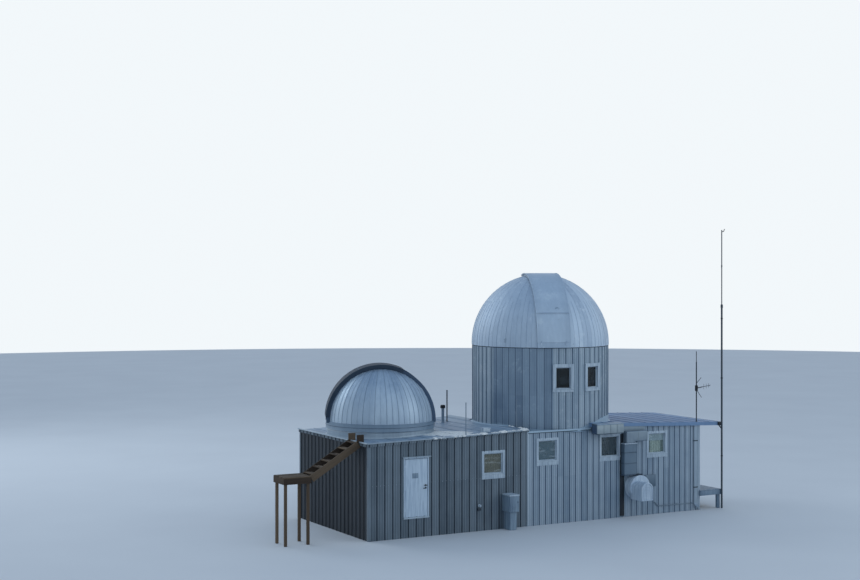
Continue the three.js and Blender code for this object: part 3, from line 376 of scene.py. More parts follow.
def rounded(width, height, corner, steps=2):
    """A rectangle's outline with quarter-round corners, as (a, b) pairs about its middle."""
    turn = np.linspace(0, np.pi / 2, steps + 1)
    quarters = []
    for quarter, (a, b) in enumerate([(1, 1), (-1, 1), (-1, -1), (1, -1)]):
        angle = turn + quarter * np.pi / 2
        quarters.append(np.stack([a * (width / 2 - corner) + corner * np.cos(angle),
                                  b * (height / 2 - corner) + corner * np.sin(angle)], -1))
    return np.concatenate(quarters)


def round_section(radius, sides=12):
    turn = np.arange(sides) / sides * 2 * np.pi
    return radius * np.stack([np.cos(turn), np.sin(turn)], -1)


def folded(line, thickness):
    """The section of a folded sheet: a line of (a, b) pairs, and the same line set off to its
    left by the thickness, mitred at the folds."""
    line = np.asarray(line, float)
    legs = unit(np.diff(line, axis=0))
    left = np.stack([-legs[:, 1], legs[:, 0]], -1)
    first, last = np.concatenate([left[:1], left]), np.concatenate([left, left[-1:]])
    share = 1 + np.sum(first * last, -1, keepdims=True)
    return np.concatenate([line, (line + thickness * (first + last) / share)[::-1]])


def bar(start, end, side, width, height, corner=0.004, **marks):
    """A straight bar with softened edges: width along side, height across it, and at each end
    the section shrinks by its corner radius."""
    start, end = np.asarray(start, float), np.asarray(end, float)
    length = np.linalg.norm(end - start)
    along = (end - start) / length
    side = unit(side)
    corner = min(corner, width * 0.3, height * 0.3, length * 0.3)
    section = rounded(width, height, corner)
    shrunk = section * np.array([1 - 2 * corner / width, 1 - 2 * corner / height])
    stations = np.array([0, corner, length - corner, length])
    return sweep(start + stations[:, None] * along, side, np.cross(along, side),
                 np.stack([shrunk, section, section, shrunk]), **marks)


def block(low, high, corner=0.006, **marks):
    """A box with softened edges, as a bar along its longest side."""
    low, high = np.asarray(low, float), np.asarray(high, float)
    size, middle = high - low, (low + high) / 2
    axis = int(np.argmax(size))
    start, end = middle.copy(), middle.copy()
    start[axis], end[axis] = low[axis], high[axis]
    other = (axis + 1) % 3
    return bar(start, end, np.eye(3)[other], size[other], size[(axis + 2) % 3], corner, **marks)


def tube(path, radius, normal, sides=12, **marks):
    """A round bar along a path in the plane that normal stands on, mitred at its bends: there
    its side vector is 1 / cos(half the turn) long."""
    path = np.asarray(path, float)
    legs = unit(np.diff(path, axis=0))
    before, after = np.concatenate([legs[:1], legs]), np.concatenate([legs, legs[-1:]])
    ahead = unit(before + after)
    stretch = 1 / np.sum(ahead * after, -1, keepdims=True)
    return sweep(path, np.cross(ahead, normal) * stretch, normal, round_section(radius, sides),
                 **marks)


def lathe(profile, centre, sides=32, axis=UP, **marks):
    """A closed profile of (radius, height) pairs turned about an axis through centre:
    point = centre + radius * (cos t, sin t) + height * axis."""
    profile, axis = np.asarray(profile, float), np.asarray(axis, float)
    first = unit(np.cross(axis, BACK if abs(axis[1]) < 0.9 else EAST))
    turn = np.arange(sides) / sides * 2 * np.pi
    around = np.cos(turn)[:, None] * first + np.sin(turn)[:, None] * np.cross(axis, first)
    points = (np.asarray(centre, float) + profile[:, None, :1] * around[None]
              + profile[:, None, 1:] * axis)
    marks = {"tone": chance.uniform(), **marks}
    return outward(grid(points, wrap=(True, True), **marks))


def arc_line(radius, start, end, steps):
    """Points (radius cos t, radius sin t) from one angle to another, in degrees."""
    turn = np.radians(np.linspace(start, end, steps + 1))
    return radius * np.stack([np.cos(turn), np.sin(turn)], -1)


# Walls' own axes
def flat_wall(x, y, out):
    """Axes of a flat wall through (x, y): u runs along it, v up and w out of it. Seen from
    outside, u runs to the right."""
    origin, out = np.array([x, y, 0.0]), np.array([*out, 0.0])
    along = np.cross(UP, out)

    def at(u, v, w=0.0):
        u, v, w = (a[..., None] for a in np.broadcast_arrays(u, v, w))
        return origin + u * along + v * UP + w * out
    return at


def round_wall(radius):
    """Axes of the round tower: u is the length along its face, from the +X direction."""
    def at(u, v, w=0.0):
        return coords((radius + w) * np.cos(u / radius), (radius + w) * np.sin(u / radius), v)
    return at


front_wall = flat_wall(0, FRONT, (0, -1))
west_wall = flat_wall(WEST_END, 0, (-1, 0))
back_wall = flat_wall(0, WEST_BACK, (0, 1))
return_wall = flat_wall(STEP, 0, (1, 0))
east_wall = flat_wall(EAST_END, 0, (1, 0))
east_back_wall = flat_wall(0, EAST_BACK, (0, 1))
tower_wall = round_wall(TOWER_RADIUS)


# Pieces
def put(name, parts, finish, body="building", stands_for=(), slot=None, sharp=30):
    """Joins surfaces into one piece, welds their seams, and rides it on a body. The slot that its
    finish goes with, unless another is given, is worked out but not given to the piece."""
    parts = parts if isinstance(parts, list) else [parts]
    starts = np.cumsum([0] + [len(part[0]) for part in parts])
    points = np.concatenate([part[0] for part in parts])
    faces = np.concatenate([part[1] + start for part, start in zip(parts, starts)])
    mesh = bpy.data.meshes.new(name)
    mesh.vertices.add(len(points))
    mesh.vertices.foreach_set("co", points.astype(np.float32).ravel())
    mesh.loops.add(faces.size)
    mesh.loops.foreach_set("vertex_index", faces.astype(np.int32).ravel())
    mesh.polygons.add(len(faces))
    mesh.polygons.foreach_set("loop_start", np.arange(0, faces.size, 4, dtype=np.int32))
    mesh.polygons.foreach_set("use_smooth", np.ones(len(faces), bool))
    # the shade mark carries painted shade at ribs, seams, folds and undersides
    for key in ("tone", "fold", "run", "turn"):
        values = [part[2].get(key, np.zeros(len(part[0]))) for part in parts]
        mesh.attributes.new(key, "FLOAT", "POINT").data.foreach_set(
            "value", np.concatenate(values).astype(np.float32))
    mesh.update(calc_edges=True)
    welded = bmesh.new()
    welded.from_mesh(mesh)
    bmesh.ops.remove_doubles(welded, verts=welded.verts, dist=2e-5)
    bmesh.ops.dissolve_degenerate(welded, dist=1e-6, edges=welded.edges)
    welded.to_mesh(mesh)
    welded.free()
    mesh.set_sharp_from_angle(angle=math.radians(sharp))
    mesh.materials.append(finish)
    piece = bpy.data.objects.new(name, mesh)
    bpy.context.scene.collection.objects.link(piece)
    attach(piece, body)
    slot = slot or next((key for key, finishes in SLOTS.items() if finish in finishes), None)
    if stands_for:
        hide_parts(*stands_for)
    return piece


# Rolled cladding: a standing rib at each pitch, and shallow beads between two ribs
SKIN = 0.003
RIB_FOOT = 0.021
RIB_CROWN = 0.012
RIB_HEIGHT = 0.02
BEADS = 2
BEAD_HALF = 0.016
BEAD_HEIGHT = 0.005
SHEET_LAP = 0.003


def cladding(at, ends, bottom, top, pitch, start, holes=(), laps=(), relief=1.0):
    """A rolled sheet on a wall: out of the wall, w = skin + relief * (rib(u) + bead(u)) + lap(v).
    Columns lie at the folds, rows at the laps and the holes' edges. bottom and top are heights
    or functions of u."""
    first, last = np.floor((ends[0] - start) / pitch), np.ceil((ends[1] - start) / pitch)
    ribs = start + pitch * np.arange(first, last + 1)
    beads = pitch * np.arange(1, BEADS + 1) / (BEADS + 1)
    bead_folds = (beads[:, None] + np.array([-1, 0, 1]) * BEAD_HALF).ravel()
    folds = np.concatenate([[-RIB_FOOT, -RIB_CROWN, RIB_CROWN, RIB_FOOT], bead_folds])
    height = np.array([0, RIB_HEIGHT, RIB_HEIGHT, 0] + [0, BEAD_HEIGHT, 0] * BEADS)
    fold_u, fold_w = (ribs[:, None] + folds).ravel(), np.tile(height, len(ribs))
    edges = [edge for hole in holes for edge in hole[:2]]
    u = np.unique(np.concatenate([fold_u, ends, edges, np.arange(*ends, 0.15)]))
    u = u[(u >= ends[0]) & (u <= ends[1])]
    w = relief * np.interp(u, fold_u, fold_w)
    rows = [edge for hole in holes for edge in hole[2:]]
    rows += [z + shift for z in laps for shift in (-0.002, 0.002)]
    limits = [z(u) if callable(z) else np.full(u.shape, float(z)) for z in (bottom, top)]
    v = np.clip([[-100.0, *sorted(rows), 100.0]], limits[0][:, None], limits[1][:, None])
    above = [v > z for z in laps]
    points = at(u[:, None], v, SKIN + w[:, None] + sum(above, 0.0 * v) * SHEET_LAP)
    tall = v[:, 1:] - v[:, :-1] > 1e-4
    keep = tall[1:] | tall[:-1]
    middle_u = ((u[1:] + u[:-1]) / 2)[:, None]
    middle_v = (v[1:, 1:] + v[1:, :-1] + v[:-1, 1:] + v[:-1, :-1]) / 4
    for left, right, low, high in holes:
        keep &= ~((middle_u > left) & (middle_u < right) & (middle_v > low) & (middle_v < high))
    tones = chance.uniform(size=500)
    number = np.floor((u - start) / pitch).astype(int)[:, None]
    band = sum(above, np.zeros(v.shape, int))
    tone = 0.7 * tones[number % 200] + 0.3 * tones[200 + (number + 31 * band) % 300]
    # painted shade: each rib takes the shade mark by its height, so it shows as a dark line
    return grid(points, keep=keep, tone=tone, fold=(w / RIB_HEIGHT)[:, None] ** 0.8)


# Rib spacing, the place of one rib, and the heights at which one sheet laps over the next
WEST_PITCH, WEST_RIB, WEST_LAPS = 0.3036, -6.151, [1.86]
MIDDLE_PITCH = 0.262
EAST_PITCH, EAST_RIB, EAST_LAPS = 0.254, 3.651, [1.7]
TOWER_RIBS, TOWER_LAPS = 60, [1.7, 4.62]
RISER_MIDDLE = 2.18
# How far a sheet runs on behind a window's or door's trim, and into the tower's face
TRIM_LAP = 0.02
INTO_TOWER = 0.04
# Where the two flat walls that run back to the tower reach its face
WEST_MEETING = math.sqrt(TOWER_RADIUS ** 2 - STEP ** 2)
EAST_MEETING = math.sqrt(TOWER_RADIUS ** 2 - EAST_BACK ** 2)


def front_hole(node):
    """The cladding's hole behind a trim: the trim's outline, less a lap on each side."""
    low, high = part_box(node)
    return low.x + TRIM_LAP, high.x - TRIM_LAP, low.z + TRIM_LAP, high.z - TRIM_LAP


def west_wing_cladding():
    """The west wing's sheets, from the ground to the roof's underside, and its fascia."""
    def under(x):
        return west_roof_top(x) - WEST_ROOF_THICKNESS

    low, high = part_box("west_roof")
    front_rim, end_rim = flat_wall(0, low.y, (0, -1)), flat_wall(low.x, 0, (-1, 0))
    put("west_fascia", [
        cladding(front_rim, (WEST_END - 0.05, STEP), lambda u: under(u) - 0.012, west_eave,
                 WEST_PITCH, WEST_RIB),
        cladding(end_rim, (-high.y, -low.y), under(low.x) - 0.012, west_eave(low.x), WEST_PITCH,
                 0.1)], west_steel)
    holes = [front_hole("west_door_frame"), front_hole("window_frame_west")]
    # the end wall takes the darker copy of the west sheets, painted shade
    for side, at, ends, top, start, gaps, finish in (
            ("front", front_wall, (WEST_END, STEP), under, WEST_RIB, holes, west_steel),
            ("end", west_wall, (-WEST_BACK, -FRONT), under(WEST_END), 0.1, (), west_end_shaded_steel),
            ("back", back_wall, (-STEP, -WEST_END), lambda u: under(-u), 0.2, (), west_steel),
            ("return", return_wall, (WEST_MEETING - INTO_TOWER, WEST_BACK), under(STEP), 0.15, (),
             west_steel)):
        put(f"west_{side}_cladding",
            cladding(at, ends, 0, top, WEST_PITCH, start, gaps, WEST_LAPS), finish)


def east_wing_cladding():
    """The middle and east front, in two rib spacings, the end wall and the back wall."""
    def under(x):
        return np.where(x < HIGH_ROOF, MIDDLE_EAVE, east_roof_top(x) - EAST_ROOF_THICKNESS)

    holes = [front_hole("window_frame_" + place) for place in ("middle", "centre", "east")]
    low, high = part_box("east_door")
    door = (low.y + TRIM_LAP, high.y - TRIM_LAP, -1, high.z - TRIM_LAP)
    for side, sheets in (
            ("front", [(front_wall, (STEP, RISER_MIDDLE), 0, under, MIDDLE_PITCH, STEP - 0.03,
                        holes[:2]),
                       (front_wall, (RISER_MIDDLE, EAST_END), 0, under, EAST_PITCH, EAST_RIB,
                        holes[2:])]),
            ("end", [(east_wall, (FRONT, EAST_BACK), 0, under(EAST_END), EAST_PITCH, 0.0, [door])]),
            ("back", [(east_back_wall, (-EAST_END, INTO_TOWER - EAST_MEETING), 0,
                       lambda u: under(-u), EAST_PITCH, -0.1, ())])):
        put(f"east_{side}_cladding", [cladding(*sheet, EAST_LAPS) for sheet in sheets], east_steel)


def tower_foot(u):
    """Where the tower's skin ends: on the roof that it meets in that direction, or the ground."""
    x, y = TOWER_RADIUS * np.cos(u / TOWER_RADIUS), TOWER_RADIUS * np.sin(u / TOWER_RADIUS)
    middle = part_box("middle_roof")[1].z
    roof_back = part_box("east_roof")[1].y
    return np.select([x < STEP, (x < HIGH_ROOF) & (y < 0), (x >= HIGH_ROOF) & (y < roof_back)],
                     [west_roof_top(x), np.full(x.shape, middle), east_roof_top(x)], 0.0)


TOWER_WINDOW_WIDTH = 0.812
# The azimuths, in degrees, between which the tower's sheets are almost flat
CALM_SHEETS = (-165, -112.5)


def tower_cladding():
    """The tower's sheets, with a calmer stretch of ribs at the left of the front."""
    half_turn = math.pi * TOWER_RADIUS
    half = TOWER_WINDOW_WIDTH / 2 - TRIM_LAP
    holes = []
    for side in ("left", "right"):
        low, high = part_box("tower_window_frame_" + side)
        u = math.atan2((low.y + high.y) / 2, (low.x + high.x) / 2) * TOWER_RADIUS
        holes.append((u - half, u + half, low.z + TRIM_LAP, high.z - TRIM_LAP))
    calm = [math.radians(azimuth) * TOWER_RADIUS for azimuth in CALM_SHEETS]

    def sheets(first, last, here=(), relief=1.0):
        return cladding(tower_wall, (first, last), tower_foot, TOWER_TOP,
                        2 * half_turn / TOWER_RIBS, 0.012, here, TOWER_LAPS, relief)
    put("tower_cladding", [sheets(-half_turn, calm[0]), sheets(calm[1], half_turn, holes)],
        tower_steel)
    put("tower_calm_cladding", sheets(*calm, relief=0.3), calm_steel)


# Folded trims at corners, eaves and feet, and the thickness of their sheet
CORNER_TRIM = 0.075
TRIM_PROUD = 0.028
RIM = 0.006
RIM_STEPS = 97


def corner_trim(x, y, out_x, out_y, top):
    """A folded angle over a corner where the two walls face out_x and out_y."""
    line = [(-CORNER_TRIM, TRIM_PROUD), (TRIM_PROUD, TRIM_PROUD), (TRIM_PROUD, -CORNER_TRIM)]
    return sweep([(x, y, 0), (x, y, top)], out_x * EAST, out_y * BACK, folded(line, -0.004))


def wall_trims():
    west_top = west_roof_top(WEST_END) - WEST_ROOF_THICKNESS
    step_top = west_roof_top(STEP) - WEST_ROOF_THICKNESS
    east_top = east_roof_top(EAST_END) - EAST_ROOF_THICKNESS
    put("west_corner_trims", [
        corner_trim(WEST_END, FRONT, -1, -1, west_top),
        corner_trim(WEST_END, WEST_BACK, -1, 1, west_top),
        corner_trim(STEP, WEST_BACK, 1, 1, step_top)], west_steel)
    joint = front_wall(STEP, np.array([0, step_top]), 0.016)
    put("corner_trims", [
        corner_trim(EAST_END, FRONT, 1, -1, east_top),
        corner_trim(EAST_END, EAST_BACK, 1, 1, east_top),
        sweep(joint, EAST, -BACK, rounded(0.07, 0.028, 0.006))], trim_steel)


def lumpy(length, seed, size):
    """A slow random height along a length: a sum of sines with seeded phases."""
    waves = np.random.default_rng(seed)
    height = np.zeros_like(length)
    for wavelength in (0.9, 0.41, 0.19, 0.08):
        height += wavelength ** 0.5 * np.sin(
            length * 2 * np.pi / wavelength + waves.uniform(0, 2 * np.pi))
    return size * height


def paste(path, side, width, height, seed):
    """A hand-laid bead of sealant: a half-round section whose size wanders along the path."""
    run = np.concatenate([[0], np.cumsum(np.linalg.norm(np.diff(path, axis=0), axis=1))])
    swell = 1 + np.clip(lumpy(run, seed, 0.35), -0.6, 0.9)
    section = arc_line(0.5, 180, 0, 7) * [width, 2 * height]
    return sweep(path, side, UP, section[None] * swell[:, None, None])


def strip(path, side, line, thickness=RIM):
    """A folded sheet along a path. The line of its section is in (along side, up) pairs."""
    return sweep(path, side, UP, folded(line, thickness))


def west_eaves():
    """Drip edges: a folded sheet over the west roof's rim, and the hand-laid sealant on them."""
    low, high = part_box("west_roof")
    x = np.linspace(low.x - 0.024, high.x, 12)
    rise = np.maximum(west_eave(x), west_roof_top(x)) + 0.004
    lid = [(-0.16, -0.035), (-0.02, 0.0), (0.032, 0.0), (0.034, -0.03)]
    drop = -WEST_ROOF_THICKNESS - 0.012
    put("west_roof_edge", [
        strip(coords(x, low.y, rise), -BACK, lid),
        strip([(low.x, y, west_eave(low.x) + 0.004) for y in (low.y - 0.024, high.y)], -EAST, lid),
        strip([(x, high.y, west_roof_top(x)) for x in (low.x, high.x)], BACK,
              [(-0.11, 0.002), (RIM, 0.002), (RIM, drop), (-0.012, drop)]),
        strip([(STEP, y, west_roof_top(STEP)) for y in (WEST_MEETING + 0.05, high.y)], EAST,
              [(-0.16, 0.002), (-0.03, 0.05), (RIM, 0.05), (RIM, drop)])], trim_steel)

    x = np.arange(-6.1, STEP, 0.02)
    y = np.arange(low.y, -WEST_MEETING, 0.02)
    put("roof_edge_sealant", [
        paste(coords(x, low.y + 0.05, west_roof_top(x) - 0.012), BACK, 0.16, 0.045, 3),
        paste(coords(STEP + 0.01, y, west_roof_top(STEP) - 0.05), EAST, 0.09, 0.07, 5)], seal_paste)


def coating_patch():
    """A patch of sealant brushed on the west roof: rings of points about its middle, with a
    wandering edge, 24 mm over the roof's plane and 8 mm at the rim."""
    turn = np.linspace(0, 2 * np.pi, RIM_STEPS)[:-1]
    reach = 1 + 0.5 * lumpy(turn * 0.9 / (2 * np.pi) * 4, 8, 0.16)
    shares = np.array([0.02, 0.5, 0.9, 1.0])[:, None]
    x = -5.05 + shares * reach * (0.78 * np.cos(turn) - 0.3 * np.sin(turn))
    y = -1.62 + shares * reach * 0.95 * np.sin(turn)
    y = np.maximum(y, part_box("west_roof")[0].y + 0.01)
    z = west_roof_top(x) + np.array([0.024, 0.024, 0.021, 0.008])[:, None]
    coat = coords(x, y, z + 0.004 * np.sin(x * 23) * np.sin(y * 31) * (shares < 1))
    put("roof_coating_patch", grid(coat, wrap=(False, True), tone=0.5), seal_paste)


def east_eaves():
    """Drip edges of the middle roof and the east roof."""
    low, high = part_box("middle_roof")
    put("middle_roof_edge", strip(
        [(low.x, FRONT, MIDDLE_EAVE), (HIGH_ROOF, FRONT, MIDDLE_EAVE)], -BACK,
        [(-0.09, 0.012 - MIDDLE_EAVE + high.z), (-0.03, 0.05), (0.026, 0.05), (0.034, -0.004)]),
        flashing_steel, slot="roof_sheet")
    put("middle_roof_drip", block((low.x, FRONT - 0.034, MIDDLE_EAVE - 0.026),
                                  (HIGH_ROOF, FRONT - 0.024, MIDDLE_EAVE - 0.005), 0.003), dark_steel)
    low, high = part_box("east_roof")
    drop = -EAST_ROOF_THICKNESS - 0.015
    line = [(-0.1, 0.003), (RIM, 0.003), (RIM, drop), (-0.02, drop)]
    east = [strip([(x, y, east_roof_top(x)) for x in (low.x, high.x)], side, line)
            for y, side in ((low.y, -BACK), (high.y, BACK))]
    drop = -EAST_ROOF_THICKNESS - 0.02
    line = [(-0.1, 0.004), (RIM, 0.004), (RIM, drop), (-0.02, drop)]
    path = [(high.x, y, east_roof_top(high.x)) for y in (low.y, high.y)]
    put("canopy_edge", strip(path, EAST, line), arch_steel)
    path = [(low.x, y, east_roof_top(low.x)) for y in (low.y, -TOWER_RADIUS + 0.1)]
    put("east_roof_edge", east + [strip(path, -EAST, line)], east_roof_steel)


TILE = 0.61
RIDGE = 0.014


def roof_cover(name, xs, ys, top, clear, finish):
    """Coated sheets on a roof: height = plane + 3 mm of slow waves + a lap ridge at each tile
    width. Cells whose middle lies in one of the clear circles (x, y, radius) are left out; the
    wall that stands there hides their steps."""
    step = 0.09
    laps = np.arange(xs[0] + TILE, xs[1] - 0.1, TILE)
    ridge_folds = (laps[:, None] + [-0.02, -0.012, 0.012, 0.02]).ravel()
    x = np.unique(np.concatenate([np.arange(*xs, step), [xs[1]], ridge_folds]))
    y = np.append(np.arange(*ys, step), ys[1])
    ridge = np.where(np.abs(x[:, None] - laps).min(1) < 0.016, RIDGE, 0.0)[:, None]
    wave = 0.003 * np.sin(x[:, None] * 5.1 + 1.3 * np.sin(y * 2.7)) * np.cos(y * 3.9)
    points = coords(x[:, None], y, top(x)[:, None] + 0.009 + wave + ridge)
    middle = (points[1:, 1:] + points[:-1, :-1]) / 2
    keep = np.ones(middle.shape[:2], bool)
    for cx, cy, radius in clear:
        keep &= np.hypot(middle[..., 0] - cx, middle[..., 1] - cy) > radius
    tone = chance.uniform(size=60)[np.searchsorted(laps, x) % 60][:, None]
    # painted shade: the lap ridges take a share of the shade mark
    put(name, grid(points, keep=keep, tone=tone, fold=ridge / RIDGE * 0.4), finish)


def roofs():
    """Sheets over the two sloped roofs, and the flat middle roof's slab up to the tower."""
    inset = 0.004
    tower = (0, 0, TOWER_RADIUS - 0.05)
    low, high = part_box("west_roof")
    roof_cover("west_roof_cover", (low.x + inset, high.x - inset), (low.y + inset, high.y - inset),
               west_roof_top, [tower, (*SMALL["centre"][:2], 1.82)], roof_steel)
    low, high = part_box("middle_roof")
    x = np.linspace(low.x, high.x, 40)
    inner = np.sqrt((TOWER_RADIUS - 0.02) ** 2 - x ** 2)
    section = np.array([(0, 0), (1, 0), (1, 1), (0, 1)])
    section = section * coords(TOWER_RADIUS - inner, low.z - high.z)[:, None]
    put("middle_roof_slab", sweep(coords(x, -inner, high.z), -BACK, UP, section), roof_steel,
        stands_for=["middle_roof"])
    low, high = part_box("east_roof")
    roof_cover("east_roof_cover", (low.x, high.x - inset), (low.y + inset, high.y - inset),
               east_roof_top, [tower], east_roof_steel)


# The upper edge of the tower's foot flashing: azimuth in degrees and height
FLASHING_TOP = [(-149, 3.4), (-98, 3.38), (-93, 3.385), (-88, 3.41), (-83, 3.47), (-78, 3.535),
                (-71, 3.61), (-64, 3.69), (-53, 3.75), (-30, 3.74), (40, 3.7)]


def tower_flashings():
    """A folded flashing round the tower's foot, on each roof in turn, and a thin dark drip ring
    under the dome, whose dark finish also paints the shadow line there. Over the east end it rises
    to a broad curved band. Section: (out, height)."""
    step, high_end = (math.degrees(math.acos(x / TOWER_RADIUS)) for x in (STEP, HIGH_ROOF))
    back = math.degrees(math.asin(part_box("east_roof")[1].y / TOWER_RADIUS))
    parts = []
    for start, end in ((step, 360 - step), (-step, -high_end), (-high_end, back)):
        turn = np.linspace(start + 0.2, end - 0.2, int((end - start) / 2))
        out = coords(np.cos(np.radians(turn)), np.sin(np.radians(turn)), 0.0)
        foot = tower_foot(np.radians(np.where(turn > 180, turn - 360, turn)) * TOWER_RADIUS)
        top = foot + 0.06 if start > 0 else np.interp(turn, *np.transpose(FLASHING_TOP))
        rise = top - foot
        section = [(0.09, 0 * rise), (0.09, 0.008), (0.036, 0.024), (0.03, rise - 0.01),
                   (0.01, rise), (0.01, 0 * rise)]
        section = np.stack([coords(a, b + 0 * rise) for a, b in section], 1)
        parts.append(sweep(TOWER_RADIUS * out + foot[:, None] * UP, out, UP, section))
    put("tower_foot_flashing", parts, flashing_steel)
    # partly painted shadow: a thin dark drip ring that also stands for the shadow under the dome's skirt
    low, high = TOWER_TOP - 0.016, TOWER_TOP + 0.004
    put("tower_drip_and_shadow_ring", lathe([
        (TOWER_RADIUS + 0.002, low), (TOWER_RADIUS + 0.018, low), (TOWER_RADIUS + 0.022, high - 0.006),
        (TOWER_RADIUS + 0.002, high)], (0, 0, 0), RING_SIDES), dark_steel)


# Domes, in a frame at the sphere's centre with +X along the slit
# In each dome the last two entries paint light on the gores: marks that make gores paler or darker by
# the way they face, and shade that grows towards the top
MAIN = {
    "centre": (0.0, 0.0, 6.44), "heading": -111.9, "radius": 2.6, "shell": 0.04, "base": 0.06,
    "gores": 40, "slit_half": 0.54, "slit_back": 0.36, "rail_width": 0.05, "rail_outer": 2.605,
    "shutter_half": 0.625, "shutter_top": 2.64, "lip_inner": 2.585, "skirt_bottom": -0.07,
    "seam_shift": 0.0, "weather": [], "painted_top_shade": (0.5, 6),
}
SMALL = {
    "centre": (-6.675, 0.31, 3.82), "heading": 156.4, "radius": 1.93, "shell": 0.03,
    "base": -0.02, "gores": 28, "slit_half": 0.55, "slit_back": 0.66, "rail_width": 0.045,
    "rail_outer": 1.96, "shutter_half": 0.63, "shutter_top": 1.99, "lip_inner": 1.872,
    "skirt_bottom": -0.28, "seam_shift": math.radians(3.4),
    "weather": [(34, 26, 0.55), (95, 26, -0.35)], "painted_top_shade": (1.1, 3),
}
GORE_ROWS = 26
# How much paler than the middle of the finish's two colours a dome's gores are
GORE_LIFT = 0.15
RING_SIDES = 120


def placed(dome, part):
    """A surface moved from the dome's own frame into the building's: turned about Z by the
    heading, then set at the centre."""
    points, faces, marks = part
    turn = math.radians(dome["heading"])
    c, s = math.cos(turn), math.sin(turn)
    return points @ np.array([[c, s, 0], [-s, c, 0], [0, 0, 1]]) + dome["centre"], faces, marks


def towards(elevation, azimuth=0.0):
    """The unit vector at an elevation and an azimuth."""
    flat = np.cos(elevation)
    return coords(flat * np.cos(azimuth), flat * np.sin(azimuth), np.sin(elevation))


def slit_end(dome, azimuth, radius):
    """The elevation at which a meridian meets the slit: there radius cos(elevation) brings it
    to the slit's side or, behind the top, to its back edge."""
    side = dome["slit_half"] / (radius * np.maximum(np.abs(np.sin(azimuth)), 1e-9))
    back = dome["slit_back"] / (radius * np.maximum(np.abs(np.cos(azimuth)), 1e-9))
    reach = np.where(np.cos(azimuth) < 0, np.minimum(side, back), side)
    return np.arccos(np.clip(reach, 0, 1))


def dust_and_shade(dome, rise):
    """How much darker the sheets are painted at an elevation, as shade: share * sin(elevation) ** power.
    """
    share, power = dome["painted_top_shade"]
    return share * np.maximum(np.sin(rise), 0) ** power


def gore_skin(dome, radius, flip=False, apron=False):
    """Single-curved gores: straight across between two seams, so the plan radius is
    R cos(e) cos(half) / cos(offset from the gore's middle). Each column runs from the base up
    to the slit, and with an apron also straight down over the ring. Each gore has its own tone,
    plus painted light: a bell curve of its direction for each mark of light by direction
    (degrees, reach, gain) makes the gores that face that way paler or darker, less the painted
    shade that grows towards the top."""
    half, shift = math.pi / dome["gores"], dome["seam_shift"]
    base = math.asin(dome["base"] / radius)
    numbers = np.arange(dome["gores"])
    seam_turns = numbers * 2 * half + shift
    inside = (seam_turns[:, None] + 2 * half * np.array([0, 0.25, 0.5, 0.75])).ravel()
    ends = np.radians(np.arange(0.0, 78.0, 3.0))
    reach = np.arcsin(np.clip(dome["slit_half"] / (radius * np.cos(np.maximum(ends, base))), 0, 1))
    azimuth = np.sort(np.mod(np.concatenate([inside, reach, -reach]), 2 * np.pi))
    share = (azimuth - shift) / (2 * half)
    plan = radius * math.cos(half) / np.cos((np.mod(share, 1) - 0.5) * 2 * half)
    last = np.maximum(slit_end(dome, azimuth, plan), base)
    rise = base + np.linspace(0, 1, GORE_ROWS)[None] * (last - base)[:, None]
    points = towards(rise, azimuth[:, None]) * coords(plan, plan, radius)[:, None]
    tones = np.random.default_rng(dome["gores"]).uniform(size=dome["gores"])
    # painted light: gores facing each given direction are made paler or darker
    for direction, width, gain in dome["weather"]:
        apart = np.degrees((numbers + 0.5) * 2 * half + shift) - direction
        tones = tones + gain * np.exp(-((np.mod(apart + 180, 360) - 180) / width) ** 2)
    tone = tones[np.floor(share).astype(int) % dome["gores"]][:, None]
    # painted shade: the gores are darker towards the top
    tone = tone + GORE_LIFT - dust_and_shade(dome, rise)
    short = (last - base) < 1e-4
    keep = np.repeat(~(short & np.roll(short, -1))[:, None], GORE_ROWS - 1, 1)
    if apron:
        foot = points[:, :1] * [1, 1, 0] + [0, 0, dome["skirt_bottom"]]
        points = np.concatenate([foot, points], 1)
        tone = np.concatenate([tone[:, :1], tone], 1)
        keep = np.concatenate([np.ones((len(azimuth), 1), bool), keep], 1)
    return placed(dome, grid(points, wrap=(True, False), keep=keep, flip=flip, tone=tone))


def seam_strip(dome, azimuth, width, height, top, dark, apron):
    """A standing seam along a meridian, from the base up to the slit or to a given elevation."""
    base = math.asin(dome["base"] / dome["radius"]) + 0.004
    last = min(float(slit_end(dome, azimuth, dome["radius"])) - 0.01, top)
    if last - base < 0.1:
        return None
    out = towards(np.linspace(base, last, max(3, int((last - base) / 0.07))), azimuth)
    path = out * dome["radius"]
    if apron:
        path = np.concatenate([path[:1] * [1, 1, 0] + [0, 0, dome["skirt_bottom"] + 0.004], path])
        out = np.concatenate([unit(out[:1] * [1, 1, 0]), out])
    side = np.array([-math.sin(azimuth), math.cos(azimuth), 0.0])
    section = [(-width / 2, -0.004), (-width / 4, height), (width / 4, height), (width / 2, -0.004)]
    # painted shade: the seam's crown takes the given share of the shade mark
    return placed(dome, sweep(path, side, out, section, fold=np.array([[0.0, dark, dark, 0.0]])))


def seams(dome, width, height, dark, top=2.0, shift=0.0, apron=False):
    """One seam for each gore, shifted by a share of the gore's width."""
    turns = (np.arange(dome["gores"]) + shift) / dome["gores"] * 2 * math.pi + dome["seam_shift"]
    strips = [seam_strip(dome, turn, width, height, top, dark, apron) for turn in turns]
    return [strip for strip in strips if strip]


def arch(dome, section, start, end, **marks):
    """A section of (across, radius) pairs carried along an arch over the slit, in degrees."""
    rise = np.radians(np.linspace(start, end, max(2, int((end - start) / 3))))
    out = towards(rise)
    # painted shade: darker towards the top, as on the gores
    tone = chance.uniform(0.4, 0.9) - dust_and_shade(dome, rise)[:, None]
    return placed(dome, sweep(0 * out, BACK, out, section, tone=tone, **marks))


def arch_bar(dome, sign, across, heights, start, end, corner=0.004, **marks):
    """A bar along the arch, on the sign's side of the slit, between two distances across it and
    two radii."""
    (a, b), (near, far) = across, heights
    section = rounded(b - a, far - near, corner) + [sign * (a + b) / 2, (near + far) / 2]
    return arch(dome, section, start, end, **marks)


